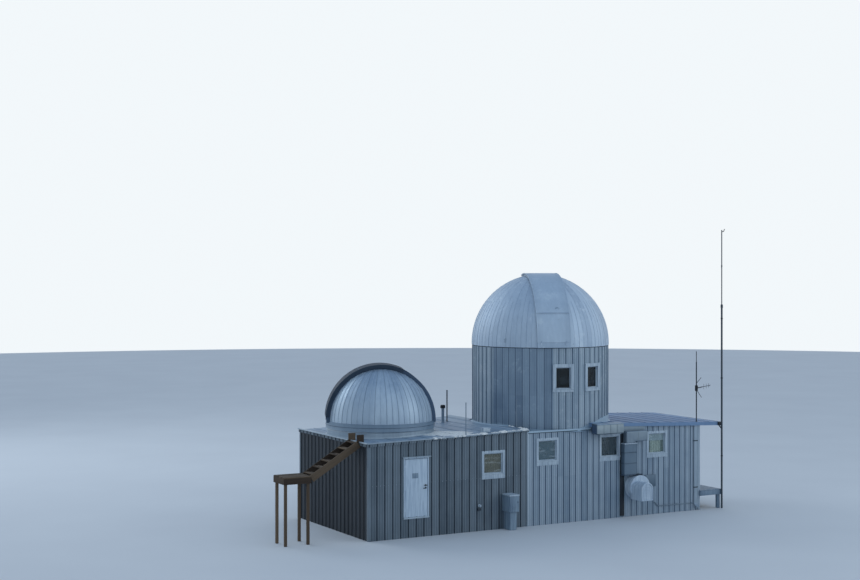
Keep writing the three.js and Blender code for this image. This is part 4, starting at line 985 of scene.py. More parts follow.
def rails(dome, body, finish, stands_for):
    """Two arched rails beside the slit, each with a raised inner edge."""
    near, outer = dome["slit_half"], dome["rail_outer"]
    inner = math.sqrt(dome["radius"] ** 2 - near ** 2) + 0.001
    low = math.degrees(math.asin((dome["base"] - 0.05) / outer))
    parts = []
    for sign in (1, -1):
        parts += [arch_bar(dome, sign, (near, near + dome["rail_width"]),
                           (inner - 0.03, outer - 0.008), low, 180 - low, 0.006),
                  arch_bar(dome, sign, (near, near + 0.014), (outer - 0.03, outer), low, 180 - low)]
    put(body + "_rails", parts, finish, body, stands_for, "rail_metal")


def cross_strip(dome, elevation, half, radius, width, height, fold):
    """A flat strip across an arch, tangent to it at an elevation."""
    rise = math.radians(elevation)
    middle = towards(rise) * radius
    return placed(dome, bar(middle - BACK * half, middle + BACK * half,
                            towards(rise + math.pi / 2), width, height, 0.003, fold=fold))


def shutter_parts(dome, start, end, ribs, laps, ridge=0.006, dark=0.0):
    """A shutter: one folded sheet over the slit with turned-down sides, a raised hem along each
    side, ribs across it underneath and lap strips on top at the given elevations. Its sides, its
    underside and the bars and ribs under it take painted shade through the shade mark, the hems a
    little, and dark adds to that mark all over."""
    half, inner, top = dome["shutter_half"], dome["lip_inner"], dome["shutter_top"]
    near, far = dome["rail_outer"] + 0.007, top - 0.004
    edge = half - 0.002
    line = [(edge, inner), (edge, top), (0.25, top + 0.003), (-0.25, top + 0.003), (-edge, top),
            (-edge, inner)]
    # painted shade: turned-down sides and underside dark, hems a little
    fold = np.array([[0.5, 0.1, 0, 0, 0.1, 0.5] + [0.9] * 6]) + dark
    parts = [arch(dome, folded(line, 0.006), start, end, fold=fold)]
    for sign in (1, -1):
        parts += [arch_bar(dome, sign, (half - 0.03, edge), (top - 0.002, top + ridge), start, end,
                           fold=0.05 + dark),
                  arch_bar(dome, sign, (half - 0.06, half - 0.02), (near + 0.005, far), start, end,
                           fold=0.9)]
    parts += [cross_strip(dome, place, half - 0.05, (near + far) / 2, 0.04, far - near, 0.9)
              for place in np.linspace(start + 0.6, end - 0.6, ribs)]
    return parts + [cross_strip(dome, place, half - 0.03, top + 0.002, 0.03, 0.005, 0.1)
                    for place in laps]


def shoes(dome, elevations):
    """Guide shoes between a shutter and its rails."""
    made = []
    near, far = dome["rail_outer"] + 0.001, dome["shutter_top"] - 0.004
    for rise in np.radians(elevations):
        for sign in (-1, 1):
            y = sign * (dome["slit_half"] + dome["rail_width"] / 2)
            middle = towards(rise) * (near + far) / 2 + BACK * y
            along = towards(rise + math.pi / 2) * 0.03
            # painted shade: the shoes sit in the shade between the shutter and its rails
            made.append(placed(dome, bar(middle - along, middle + along, BACK,
                                         dome["rail_width"] - 0.01, far - near, 0.003, fold=0.9)))
    return made


def shell(dome, body, finish, apron=False):
    """A dome's outer and inner gores."""
    put(body + "_gores", [gore_skin(dome, dome["radius"], apron=apron),
                          gore_skin(dome, dome["radius"] - dome["shell"], flip=True)],
        finish, body, [body + "_shell"], sharp=20)


# The lower shutter's hinge axis: its distance out and up in the dome's frame, the places of its
# two hinges along it, and one half of their pin as (radius, place) pairs
HINGE_OUT, HINGE_UP = 2.663, 0.13
HINGES = (-0.45, 0.45)
PIN = [(0.0, 0.001), (0.006, 0.002), (0.006, 0.038), (0.0, 0.04)]


def hinge_half(y, low, high, pin):
    """A hinge's leaf, from low to high about the axis, and its half of the pin."""
    axis = np.array([HINGE_OUT, y, HINGE_UP])
    return [placed(MAIN, block(axis + low, axis + high, 0.004)),
            placed(MAIN, lathe(pin, axis, 16, BACK))]


def main_dome():
    """The large dome: gores, seams, ring, rails, the lower shutter's apron and sill, and both
    shutters on their own bodies."""
    body = "main_dome"
    shell(MAIN, body, dome_steel, apron=True)
    put("main_dome_seams",
        seams(MAIN, 0.018, 0.004, 0.17, apron=True)
        + seams(MAIN, 0.014, 0.003, 0.1, math.radians(38), 0.5, apron=True), dome_steel, body)
    bottom, base = MAIN["skirt_bottom"], MAIN["base"]
    ring = [(2.41, 0.0), (2.588, 0.0), (2.588, base - 0.004), (2.584, base), (2.414, base),
            (2.41, base - 0.004)]
    put("main_dome_ring", placed(MAIN, lathe(ring, (0, 0, 0), RING_SIDES)), dome_steel, body)
    rails(MAIN, body, shutter_steel,
          ["main_dome_frame", "main_dome_rail_left", "main_dome_rail_right"])
    shelf = HINGE_UP - 0.0065
    apron = strip([(0, -0.62, 0), (0, 0.62, 0)], EAST,
                  [(2.5, shelf), (2.64, shelf), (2.64, bottom), (2.6, bottom)], -0.008)
    put("main_dome_apron", placed(MAIN, apron), shutter_steel, body, slot="dome_metal")
    sill = [placed(MAIN, block((2.56, -0.53, base), (2.59, 0.53, HINGE_UP - 0.03)))]
    mirrored = np.multiply(PIN, (1, -1))[::-1]
    for y in HINGES:
        sill += hinge_half(y, (-0.1, -0.04, base - 0.03 - HINGE_UP), (-0.004, -0.001, -0.008),
                           mirrored)
    put("main_dome_sill", sill, shutter_steel, body, slot="rail_metal")

    guides = shoes(MAIN, (30, 70))
    put("upper_shutter_sheet", shutter_parts(MAIN, 26.42, 103, 6, [26.9]) + guides, shutter_steel,
        "main_upper_shutter",
        ["main_upper_shutter", "main_upper_shutter_lip_left", "main_upper_shutter_lip_right"])
    lower = shutter_parts(MAIN, 2.75, 26.3, 3, [25.8])
    for y in HINGES:
        lower += hinge_half(y, (-0.022, 0.001, 0), (0.004, 0.04, 0.05), PIN)
    put("lower_shutter_sheet", lower, shutter_steel, "main_lower_shutter", ["main_lower_shutter"])


def small_dome():
    """The small dome: gores, seams, skirt with a bead, rails and its one shutter."""
    body = "small_dome"
    shell(SMALL, body, small_steel)
    put("small_dome_seams", seams(SMALL, 0.024, 0.009, 0.32)
        + seams(SMALL, 0.014, 0.003, 0.07, 1.2, 0.5), small_steel, body)
    outer, inner, low, high = 1.968, 1.81, SMALL["skirt_bottom"], SMALL["base"]
    band = [
        (inner, high), (inner, high - 0.05), (outer - 0.012, high - 0.05), (outer - 0.012, low),
        (outer - 0.004, low - 0.001), (outer + 0.004, low + 0.006), (outer - 0.002, low + 0.014),
        (outer - 0.004, low + 0.02), (outer - 0.004, high - 0.012), (outer, high - 0.006),
        (outer - 0.004, high)]
    bead = [(1.968, -0.15), (1.976, -0.147), (1.976, -0.143), (1.968, -0.14)]
    put("small_dome_skirt", [placed(SMALL, lathe(band, (0, 0, 0), RING_SIDES)),
                             placed(SMALL, lathe(bead, (0, 0, 0), RING_SIDES, fold=0.9))],
        skirt_steel, body)
    rails(SMALL, body, arch_steel, ["small_dome_frame"])
    guides = shoes(SMALL, (10, 110))
    put("small_shutter_sheet", shutter_parts(SMALL, 4, 114, 7, [66.0], 0.004, 0.5) + guides,
        arch_steel, "small_shutter", ["small_shutter"])


def curb():
    """The small dome's curb: a turned sheet wall with a bead, cut by the roof's slope below."""
    x, y = SMALL["centre"][:2]
    turn = np.radians(np.arange(0, 360, 3))
    out = coords(np.cos(turn), np.sin(turn), 0.0)
    foot = west_roof_top(x + 1.93 * np.cos(turn)) + 0.002
    radius = np.array([1.925, 1.929, 1.929, 1.936, 1.929, 1.929])
    share = np.array([0.0, 0.0, 0.5, 0.53, 0.56, 1.0])
    z = foot[:, None] + share * (3.695 - foot[:, None])
    points = coords(x + radius * out[:, :1], y + radius * out[:, 1:2], z)
    path = coords(x + 1.93 * out[:, 0], y + 1.93 * out[:, 1], foot)
    lap = sweep(path, out, UP, folded([(0.07, 0.008), (0.02, 0.014), (0.012, 0.06), (0.0, 0.066)],
                                      -0.004), closed=True)
    put("small_dome_curb_skin", [grid(points, wrap=(True, False), tone=0.5), lap], trim_steel)


# Windows
def casing(at, u0, u1, v0, v1, profile, sill=1.0, **marks):
    """A mitred rectangular ring on a wall: profile pairs are (inwards, out of the wall), and
    along the bottom the inward widths are multiplied by sill."""
    inward, out = np.asarray(profile, float).T
    u = np.stack([u0 + inward, u1 - inward, u1 - inward, u0 + inward])
    v = np.stack([v0 + inward * sill, v0 + inward * sill, v1 - inward, v1 - inward])
    return outward(grid(at(u, v, out), wrap=(True, True), tone=chance.uniform(), **marks))


GLASS = 0.006


def pane(at, u0, u1, v0, v1, w):
    """A sheet of glass with its two faces and its edge."""
    back = w - GLASS
    edge = casing(at, u0, u1, v0, v1, [(0, w), (0, back), (0.001, back), (0.001, w)])
    u, v = np.meshgrid([u0 + 0.001, u1 - 0.001], [v0 + 0.001, v1 - 0.001], indexing="ij")
    return [edge, grid(at(u, v, w)), grid(at(u, v, back), flip=True)]


FOLDS, FOLD_DEPTH = 6, 0.012


def curtain(at, u0, u1, v0, v1, w):
    """A gathered curtain: w = depth * sin(folds along u), deepest at the hem. Returns the
    surface and the cloth's own width, which is the length of that wave."""
    u = np.linspace(u0, u1, FOLDS * 12 + 1)[:, None]
    v = np.linspace(v0, v1, 16)[None]
    wave = np.sin((u - u0) / (u1 - u0) * FOLDS * 2 * np.pi)
    points = at(u, v, w + wave * FOLD_DEPTH * (1.15 - 0.3 * (v - v0) / (v1 - v0)))
    width = np.sum(np.linalg.norm(np.diff(points[:, 8], axis=0), axis=1))
    # painted light: the shade mark is high on the crowns of the folds and low in their hollows
    return grid(points, fold=0.5 + 0.5 * wave), float(width)


# The two kinds of window, as places out of the wall. A trim's foot, face and back, its sash, the
# glass and the cloth, and the ledge's inset and drop from the trim's inner edge
FRONT_KIND = {"trim": 0.095, "foot": 0.001, "face": 0.025, "back": -0.148, "sash": -0.028,
              "glass": -0.058, "cloth": -0.12, "ledge": (0.01, 0.02)}
TOWER_KIND = {"trim": 0.12, "foot": -0.078, "face": 0.0, "back": -0.23, "sash": -0.06,
              "glass": -0.09, "cloth": -0.15, "ledge": (0.0, 0.015)}
TOWER_WINDOW_OUT = 0.045
SASH = 0.025
# Each window: its frame's node, how much deeper its trim is along the bottom, its azimuth in
# the tower's wall, its glass (tint, painted reflection, how much of the room shows), and the nodes
# that the glass stands for
WINDOWS = {
    "west": ("window_frame_west", 2.0, None, ("74786f", "a7b0ae", 0.45), ["front_window_glass"]),
    "middle": ("window_frame_middle", 1.9, None, ("667e8a", "c4d2dc", 0.45), []),
    "centre": ("window_frame_centre", 1.8, None, ("485d69", "8799a6", 0.65), []),
    "east": ("window_frame_east", 1.74, None, ("8aa3a3", "b7cac6", 0.75), []),
    "tower_left": ("tower_window_frame_left", 1.0, -103.9, ("20262a", "3c464d", 0.45),
                   ["tower_window_glass"]),
    "tower_right": ("tower_window_frame_right", 1.0, -74.9, ("20262a", "3c464d", 0.45), []),
}
# Each curtain: its piece's name, its finish and the share of the window that it covers, from
# the left
CURTAINS = {
    "west": ("west_window_curtain", woven_curtain("olive_cotton", "a39b83", "6d6752"), (0.0, 0.92)),
    "centre": ("centre_window_curtain", woven_curtain("brown_cotton", "69675f", "45463f"),
               (0.0, 0.6)),
    "east": ("east_window_curtain", woven_curtain("pale_green_cotton", "d3dccf", "a3b0a4"),
             (0.2, 0.86)),
    "tower_right": ("tower_window_curtain", woven_curtain("buff_cotton", "b0a492", "82765f"),
                    (0.0, 0.55)),
}


def frame_parts(at, u0, u1, v0, v1, kind, sill):
    """A window's trim, the outer frame, sash and bead behind it, and its ledge, with the
    outline of its glass."""
    trim, foot, face, back, w = (kind[key] for key in ("trim", "foot", "face", "back", "sash"))
    profile = [(0.0, foot), (0.0, face - 0.004), (0.004, face), (trim - 0.006, face + 0.001),
               (trim, face - 0.005), (trim, back), (trim - 0.025, back), (trim - 0.025, foot)]
    outer = [(0, w), (0, w - 0.06), (0.014, w - 0.06), (0.014, w)]
    inner = [(0.01, w - 0.008), (0.01, w - 0.05), (0.03, w - 0.05), (0.032, w - 0.02),
             (0.026, w - 0.008)]
    inside = (u0 + trim, u1 - trim, v0 + trim * sill, v1 - trim)
    inset, drop = kind["ledge"]
    ledge = at(np.array([u0 + inset, u1 - inset]), inside[2] - drop, face + 0.008)
    parts = [casing(at, u0, u1, v0, v1, profile, sill), casing(at, *inside, outer),
             casing(at, *inside, inner), bar(*ledge, UP, 0.03, 0.026, 0.006)]
    return parts, np.add(inside, (SASH, -SASH, SASH, -SASH))


def windows():
    """Every window: trim and sashes, its pane, and its curtain or blind box."""
    for place, (node, sill, azimuth, glass, glass_nodes) in WINDOWS.items():
        low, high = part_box(node)
        at, kind, u0, u1 = front_wall, FRONT_KIND, low.x, high.x
        if azimuth:
            turn, reach = math.radians(azimuth), TOWER_RADIUS + TOWER_WINDOW_OUT
            out = (math.cos(turn), math.sin(turn))
            at, kind = flat_wall(out[0] * reach, out[1] * reach, out), TOWER_KIND
            u0, u1 = -TOWER_WINDOW_WIDTH / 2, TOWER_WINDOW_WIDTH / 2
        parts, light = frame_parts(at, u0, u1, low.z, high.z, kind, sill)
        put(f"{place}_window_trim", parts, white_coat, stands_for=[node])
        put(f"{place}_window_pane", pane(at, *light, kind["glass"]),
            window_pane(f"float_glass_{place}", *glass), stands_for=glass_nodes,
            slot="window_glass")
        u0, u1, v0, v1 = light
        if place in CURTAINS:
            name, finish, shares = CURTAINS[place]
            start, end = (u0 + share * (u1 - u0) for share in shares)
            surface, width = curtain(at, start, end, v0 - 0.03, v1 + 0.05, kind["cloth"])
            cloth = put(name, surface, finish, sharp=80)
        if place == "east":
            put("east_window_blind_box", block(at(u0 - 0.02, v1 - 0.24, -0.1),
                                               at(u1 + 0.02, v1 + 0.02, -0.07), 0.004), white_coat)


# Doors
def west_door():
    """The white door: its leaf with a raised edge, plate, lock set and hinges, its frame, drip cap
    and threshold."""
    low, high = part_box("west_door_frame")
    left, right, bottom, top = -7.2, -6.326, 0.706, 2.694
    face = FRONT - 0.02
    body = "west_door"
    kick = [(0, -0.002), (0, 0.0025), (0.006, 0.0025), (0.006, -0.002)]
    put("door_leaf", [
        block((left, face, bottom), (right, face + 0.045, top), 0.004),
        casing(flat_wall(0, face, (0, -1)), left + 0.012, right - 0.012, bottom + 0.012,
               top - 0.012, kick)], door_coat, body, ["west_door"])
    plate = block((-6.92, face - 0.006, 2.035), (-6.69, face + 0.001, 2.21), 0.003)
    put("door_plate", plate, box_coat, body)
    knob = np.array([right - 0.07, face, 1.68])
    bolt = knob + [0, 0, 0.09]
    turn = np.radians(np.linspace(0, 90, 7))
    bend = coords(-0.03 * (1 - np.cos(turn)), -0.036 - 0.03 * np.sin(turn), 0.0)
    lever = np.concatenate([[(0, 0, 0)], bend, [(-0.12, -0.07, -0.004)]]) + knob
    put("door_lock_set", [
        lathe([(0, 0.002), (0.032, 0.001), (0.032, -shoulder), (neck, -shoulder - 0.004),
               (0, -shoulder - 0.004)], centre, 28, BACK)
        for centre, shoulder, neck in ((knob, 0.008, 0.027), (bolt, 0.01, 0.025))] + [
        tube(lever, 0.014, UP),
        bar(bolt + [-0.07, -0.02, 0], bolt + [0.06, -0.02, 0], UP, 0.026, 0.012),
    ], lock_brass, body)

    hinge_x, hinge_y = left - 0.006, face - 0.004
    knuckle = [(0, 0.0005), (0.0055, 0.001), (0.0055, 0.049), (0, 0.0495)]
    fixed, moving = [], []
    for z in (0.95, 1.7, 2.45):
        for half, foot, x, leaf in ((moving, z, hinge_x, z + 0.001),
                                    (fixed, z - 0.05, hinge_x - 0.036, z - 0.05)):
            half += [lathe(knuckle, (hinge_x, hinge_y, foot), 16),
                     block((x, hinge_y - 0.001, leaf), (x + 0.036, hinge_y + 0.004, leaf + 0.049),
                           0.001)]
    put("door_hinges", moving, door_coat, body)
    edge = [(0.0, -0.17), (0.0, 0.016), (0.004, 0.02), (0.04, 0.02), (0.042, 0.018), (0.042, -0.032),
            (0.068, -0.032), (0.068, -0.17)]
    jamb = casing(front_wall, low.x, high.x, low.z - 0.06, high.z, edge)
    put("door_frame", [jamb] + fixed, door_coat, stands_for=["west_door_frame"])
    head = high.z + 0.03
    put("door_drip_cap", [
        strip([(low.x - 0.05, FRONT, head), (high.x + 0.06, FRONT, head)], -BACK,
              [(0.0, 0.0), (0.075, -0.012), (0.075, -0.03)], 0.004),
        block((low.x, FRONT - 0.03, head - 0.035), (high.x, FRONT, head - 0.02), 0.003)], trim_steel)
    put("door_threshold", block((low.x, FRONT - 0.05, 0.655), (high.x, FRONT + 0.02, 0.7)),
        trim_steel)


def east_door():
    """Beads and a lever on the plain east door."""
    low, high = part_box("east_door")
    face = EAST_END - 0.015
    at = flat_wall(face, 0, (1, 0))
    bead = [(0, -0.002), (0, 0.008), (0.02, 0.012), (0.028, 0.004), (0.028, -0.002)]
    put("east_door_panels", [casing(at, low.y + 0.2, high.y - 0.2, z0, z1, bead)
                             for z0, z1 in ((0.98, 1.7), (1.85, 2.55))], white_coat)
    knob = np.array([face, high.y - 0.19, 1.72])
    lever = knob + [(0, 0, 0), (0.035, 0, 0), (0.05, -0.02, 0), (0.05, -0.11, 0)]
    put("east_door_lever", [
        lathe([(0, 0), (0.026, 0.001), (0.024, 0.012), (0, 0.012)], knob, 24, EAST),
        tube(lever, 0.009, UP)], lock_brass)


# Timber stair and its landing, and the porch
def stair():
    """Two sloped side boards on their feet, and six treads of two boards each."""
    low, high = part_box("timber_stair")
    foot, foot_z, slope, depth, board = -10.5, 2.3, 0.605, 0.29, 0.045
    edge, head = WEST_END - 0.051, WEST_END + 0.11
    rest = west_roof_top(edge) + 0.02
    rise = np.array([edge - foot, 0, slope * (edge - foot)])
    parts = []
    for y in (low.y + board / 2, high.y - board / 2):
        start = np.array([foot + 0.001, y, foot_z - depth / 2])
        end = start + rise - [0.001, 0, 0]
        along = unit(end - start)
        parts += [bar(start + along * 0.06, end - along * 0.03, BACK, board,
                      depth * math.cos(math.atan(slope)), 0.006),
                  block((edge - 0.1, y - board / 2, rest), (head, y + board / 2, rest + 0.28))]
    for x in foot + (np.arange(6) + 0.6) * (WEST_END - foot) / 6:
        z = foot_z + slope * (x - foot) - 0.06
        parts += [block((x + shift - 0.06, low.y + board, z - 0.04),
                        (x + shift + 0.06, high.y - board, z), 0.005) for shift in (-0.066, 0.066)]
    put("stair_boards", parts, timber, stands_for=["timber_stair"])


def landing():
    """A deck of boards on four edge beams and four posts."""
    low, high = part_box("timber_landing")
    width, beam, post, under = 0.14, 0.045, 0.09, high.z - 0.041
    deck = [block((low.x, y, high.z - 0.04), (high.x, y + width, high.z), 0.005)
            for y in np.arange(low.y + 0.005, high.y - width + 0.01, width + 0.008)]
    deck += [block((low.x, y, under - 0.2), (high.x, y + beam, under), 0.005)
             for y in (low.y, high.y - beam)]
    deck += [block((x, low.y + 0.046, under - 0.2), (x + beam, high.y - 0.046, under), 0.005)
             for x in (low.x, high.x - beam)]
    deck += [block((x, y, 0), (x + post, y + post, under))
             for x in (low.x + 0.046, high.x - 0.136) for y in (low.y + 0.046, high.y - 0.136)]
    put("landing_boards", deck, timber, stands_for=["timber_landing"])


def porch():
    """The porch deck by the east door, with posts at its far side."""
    low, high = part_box("porch_platform")
    width, beam, post, under = 0.12, 0.05, 0.12, high.z - 0.036
    deck = [block((x, low.y, high.z - 0.035), (x + width, high.y, high.z), 0.004)
            for x in np.arange(low.x, high.x - width + 0.01, width + 0.006)]
    deck += [block((low.x, y, high.z - 0.21), (high.x, y + beam, under), 0.005)
             for y in (low.y, high.y - beam)]
    deck += [block((x, low.y + beam, high.z - 0.21), (x + beam, high.y - beam, under), 0.005)
             for x in (low.x, high.x - beam)]
    deck += [block((high.x - 0.171, y, 0), (high.x - 0.051, y + post, under))
             for y in (low.y + beam, high.y - beam - post)]
    put("porch_boards", deck, porch_coat, stands_for=["porch_platform"])


# Ventilation and fittings on the front
def ducts():
    """The riser with its bands and flange, a dark strip beside it that paints its shadow on the
    wall, the elbow with its collars, the sheet over the elbow's foot and the knob beside it."""
    low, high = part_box("duct_riser")
    neck = 2.74
    at = flat_wall(0, low.y + 0.025, (0, -1))
    band = [(0, -0.24), (0, 0.008), (0.012, 0.008), (0.012, -0.24)]
    put("riser_duct", [block((1.9, low.y + 0.025, low.z), (2.46, high.y, neck - 0.01), 0.01)] + [
        casing(at, 1.89, 2.47, z, z + 0.03, band, fold=0.2) for z in (low.z + 0.02, 2.0, 2.4)],
        riser_steel, stands_for=["duct_riser"])
    put("riser_flange", block((low.x, low.y, neck - 0.01), (high.x, high.y, neck + 0.025)),
        white_coat, slot="pale_steel")
    # painted shadow: a dark strip down the wall by the riser's left side
    put("riser_side_shadow_strip", block((1.86, FRONT - 0.03, 0.05), (2.05, FRONT, 3.1), 0.003, fold=0.3),
        dark_steel)

    low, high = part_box("duct_elbow")
    half, depth = (high.y - low.y) / 2, 0.27
    x, y, turn_z = low.x + half, high.y - depth / 2, high.z - half
    section = rounded(2 * half - 0.01, depth - 0.01, 0.05, 4)
    path = [(x, y, low.z), (x, y, turn_z), (high.x, y, turn_z)]
    parts = [sweep(path, np.array([EAST, EAST - UP, -UP]), -BACK, section)]
    collar = rounded(depth, 2 * half, 0.055, 4)
    for start, end in (((x, y, low.z), (x, y, low.z + 0.03)),
                       ((high.x - 0.03, y, turn_z), (high.x - 0.001, y, turn_z)),
                       ((x + 0.34, y, turn_z), (x + 0.37, y, turn_z))):
        parts.append(sweep([start, end], BACK, unit(np.cross(np.subtract(end, start), BACK)),
                           collar, fold=0.12))
    put("elbow_duct", parts, duct_steel, stands_for=["duct_elbow"])
    put("duct_cover_sheet", block((1.76, FRONT - 0.09, 3.2), (2.93, FRONT - 0.004, 3.42), 0.008),
        duct_steel)
    knob = [(0, 0), (0.02, 0), (0.03, 0.03), (0.045, 0.04), (0.045, 0.07), (0.02, 0.085), (0, 0.086)]
    put("duct_knob", lathe(knob, (1.76, FRONT - 0.3, 3.21), 24), black_rubber)


def eave_hood():
    """The hood under the middle eave: its box with a rim above and below, ribs, lid, and a dark
    end plate that paints the shade on its west end.
    """
    low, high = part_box("eave_hood")
    at = flat_wall(0, low.y, (0, -1))
    rib = [(0, -0.01), (0, 0.004), (0.006, 0.004), (0.006, -0.01)]
    put("eave_hood_sheets", [
        block(low, high, 0.012),
        block((low.x - 0.004, low.y - 0.004, high.z - 0.03), (high.x + 0.004, high.y, high.z),
              fold=0.3),
        block((low.x - 0.002, low.y - 0.002, low.z), (high.x + 0.002, high.y, low.z + 0.03),
              fold=0.6)] + [
        casing(at, u - 0.012, u + 0.012, low.z + 0.03, high.z - 0.03, rib, fold=0.2)
        for u in np.linspace(low.x + 0.3, high.x - 0.3, 3)], hood_steel, stands_for=["eave_hood"])
    lid = [(high.y + 0.02, 0.022), (low.y - 0.012, 0.004), (low.y - 0.012, -0.022)]
    path = [(low.x - 0.012, 0, high.z), (high.x + 0.012, 0, high.z)]
    put("eave_hood_lid", strip(path, BACK, lid, 0.004), roof_steel)
    # painted shade: a dark plate over the hood's west end, which stands in shade
    put("eave_hood_shaded_end", block((low.x - 0.008, low.y + 0.02, low.z + 0.02),
                               (low.x, high.y - 0.01, high.z - 0.02), 0.002), arch_steel,
        slot="dark_steel")


def blower():
    """The blower's drum, its arched intake hood with louvres, its cap and the plate beside it."""
    radius, depth = 0.45, 0.38
    x, z = 2.53, 1.11
    back = FRONT - 0.001
    drum = [(0, 0), (radius - 0.02, 0), (radius, -0.012), (radius, -0.05), (radius - 0.012, -0.06),
            (radius - 0.012, -depth + 0.05), (radius, -depth + 0.04), (radius, -depth + 0.012),
            (radius - 0.02, -depth), (0.26, -depth), (0.24, -depth - 0.012), (0, -depth - 0.012)]
    parts = [lathe(drum, (x, back, z), 56, BACK)]
    x0, x1, bottom, crown = 2.14, 2.65, 0.7, 1.37
    half = (x1 - x0) / 2
    outline = np.concatenate([
        [(x0, bottom), (x1, bottom)], arc_line(half, 0, 180, 12) + [(x0 + x1) / 2, crown - half],
        [(x0, (bottom + crown - half) / 2)]])
    middle = np.array([(x0 + x1) / 2, (bottom + crown) / 2])
    shares = np.array([0.86, 0.86, 0.88, 0.94, 1, 1])[:, None, None]
    near, far = back - 1.0, back - depth + 0.05
    stations = coords(0.0, np.array([near + 0.03, near + 0.03, near, near, near + 0.012, far]), 0.0)
    parts.append(sweep(stations, EAST, UP, middle + (outline - middle) * shares))
    put("blower_casing", parts, blower_coat, stands_for=["blower"])
    put("blower_louvres", [
        bar((x0 + 0.04, near + 0.022, h), (x1 - 0.04, near + 0.022, h), BACK, 0.016, 0.018, 0.003)
        for h in np.arange(bottom + 0.07, crown - half + 0.12, 0.055)], blower_coat)
    cap = [(0, 0), (0.15, 0), (0.16, 0.006), (0.165, 0.03), (0.15, 0.042), (0, 0.046)]
    put("blower_cap", lathe(cap, (x + 0.04, FRONT - 0.2, z + radius - 0.016), 28), dark_steel)
    put("wall_plate", block((3.0, FRONT - 0.05, 1.05), (3.5, FRONT - 0.02, 1.5), fold=0.1),
        riser_steel)


def cabinet():
    """The equipment cabinet on its foot: case, door frame, three louvres, lid and latch."""
    low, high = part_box("equipment_cabinet")
    x0, x1, bottom, lid_bottom = -3.28, -2.9, 0.65, 1.21
    front, back = low.y + 0.015, high.y
    door = [(0, -0.004), (0, 0.006), (0.014, 0.008), (0.018, -0.004)]
    put("cabinet_case", [
        block((x0, front, bottom), (x1, back, lid_bottom + 0.005), 0.01),
        block((x0 + 0.06, front + 0.08, 0), (x1 - 0.06, back, bottom + 0.005)),
        casing(flat_wall(0, front, (0, -1)), x0 + 0.03, x1 - 0.03, bottom + 0.04,
               lid_bottom - 0.03, door)] + [
        bar((x0 + 0.1, front - 0.004, h), (x1 - 0.1, front - 0.004, h), UP, 0.016, 0.01, 0.003)
        for h in (0.78, 0.82, 0.86)], box_coat, stands_for=["equipment_cabinet"])
    put("cabinet_lid", block((low.x, low.y, lid_bottom), (high.x, back, high.z), 0.012), white_coat)
    x, y = x1 - 0.06, front - 0.016
    put("cabinet_latch", [
        lathe([(0, 0), (0.014, 0), (0.012, -0.014), (0, -0.014)], (x, front, 1.0), 18, BACK),
        bar((x, y, 0.965), (x, y, 1.02), EAST, 0.012, 0.008, 0.002)], lock_brass)


def wall_fittings():
    """Downspout with its straps, the conduit along the foot, a lamp with its box and the screw
    heads, which on the west wing keep clear of the door."""
    x, y = EAST_END - 0.19, FRONT - 0.042
    top = east_roof_top(x) - EAST_ROOF_THICKNESS
    section = rounded(0.17, 0.036, 0.012, 3)
    put("downspout", [
        sweep([(x, y, 0.25), (x, y, top)], EAST, BACK, section),
        sweep([(x, y, 0.26), (x, y - 0.04, 0.2), (x, y - 0.16, 0.14)], EAST,
              unit([(0, 1, 0), (0, 1, -0.7), (0, 0.3, -1)]), section)], trim_steel)
    put("downspout_straps", [
        block((x - 0.096, y - 0.022, z - 0.02), (x + 0.096, FRONT - 0.02, z + 0.02), 0.004)
        for z in (2.66, 0.88)], dark_steel)
    path = [(u, FRONT - 0.04, z) for u, z in (
        (3.45, 0.45), (3.6, 0.3), (4.6, 0.29), (EAST_END - 0.27, 0.28))]
    put("foot_conduit", [tube(path, 0.016, BACK)] + [
        block((u - 0.012, FRONT - 0.06, 0.262), (u + 0.012, FRONT - 0.02, 0.318), 0.003)
        for u in (3.8, 4.5, 5.2)], duct_steel)
    lamp = [(0, 0), (0.05, 0), (0.05, -0.02), (0.035, -0.03), (0.045, -0.09), (0.03, -0.12), (0, -0.125)]
    put("wall_lamp", lathe(lamp, (-4.25, FRONT - 0.02, 0.9), 24, BACK), white_coat)
    put("lamp_box", block((-4.32, FRONT - 0.06, 0.72), (-4.18, FRONT - 0.02, 0.82)), dark_steel)
    west = [(u, WEST_LAPS[0]) for u in np.arange(-8.45, STEP, WEST_PITCH / 2)
            if not -7.3 < u < -6.2]
    east = [(u, 0.62) for u in np.arange(STEP + 0.13, EAST_END - 0.2, EAST_PITCH)]
    head = [(0, 0), (0.011, 0), (0.009, -0.006), (0, -0.007)]
    put("sheet_screws", [lathe(head, (u, FRONT - 0.006, z), 8, BACK) for u, z in west + east],
        trim_steel)


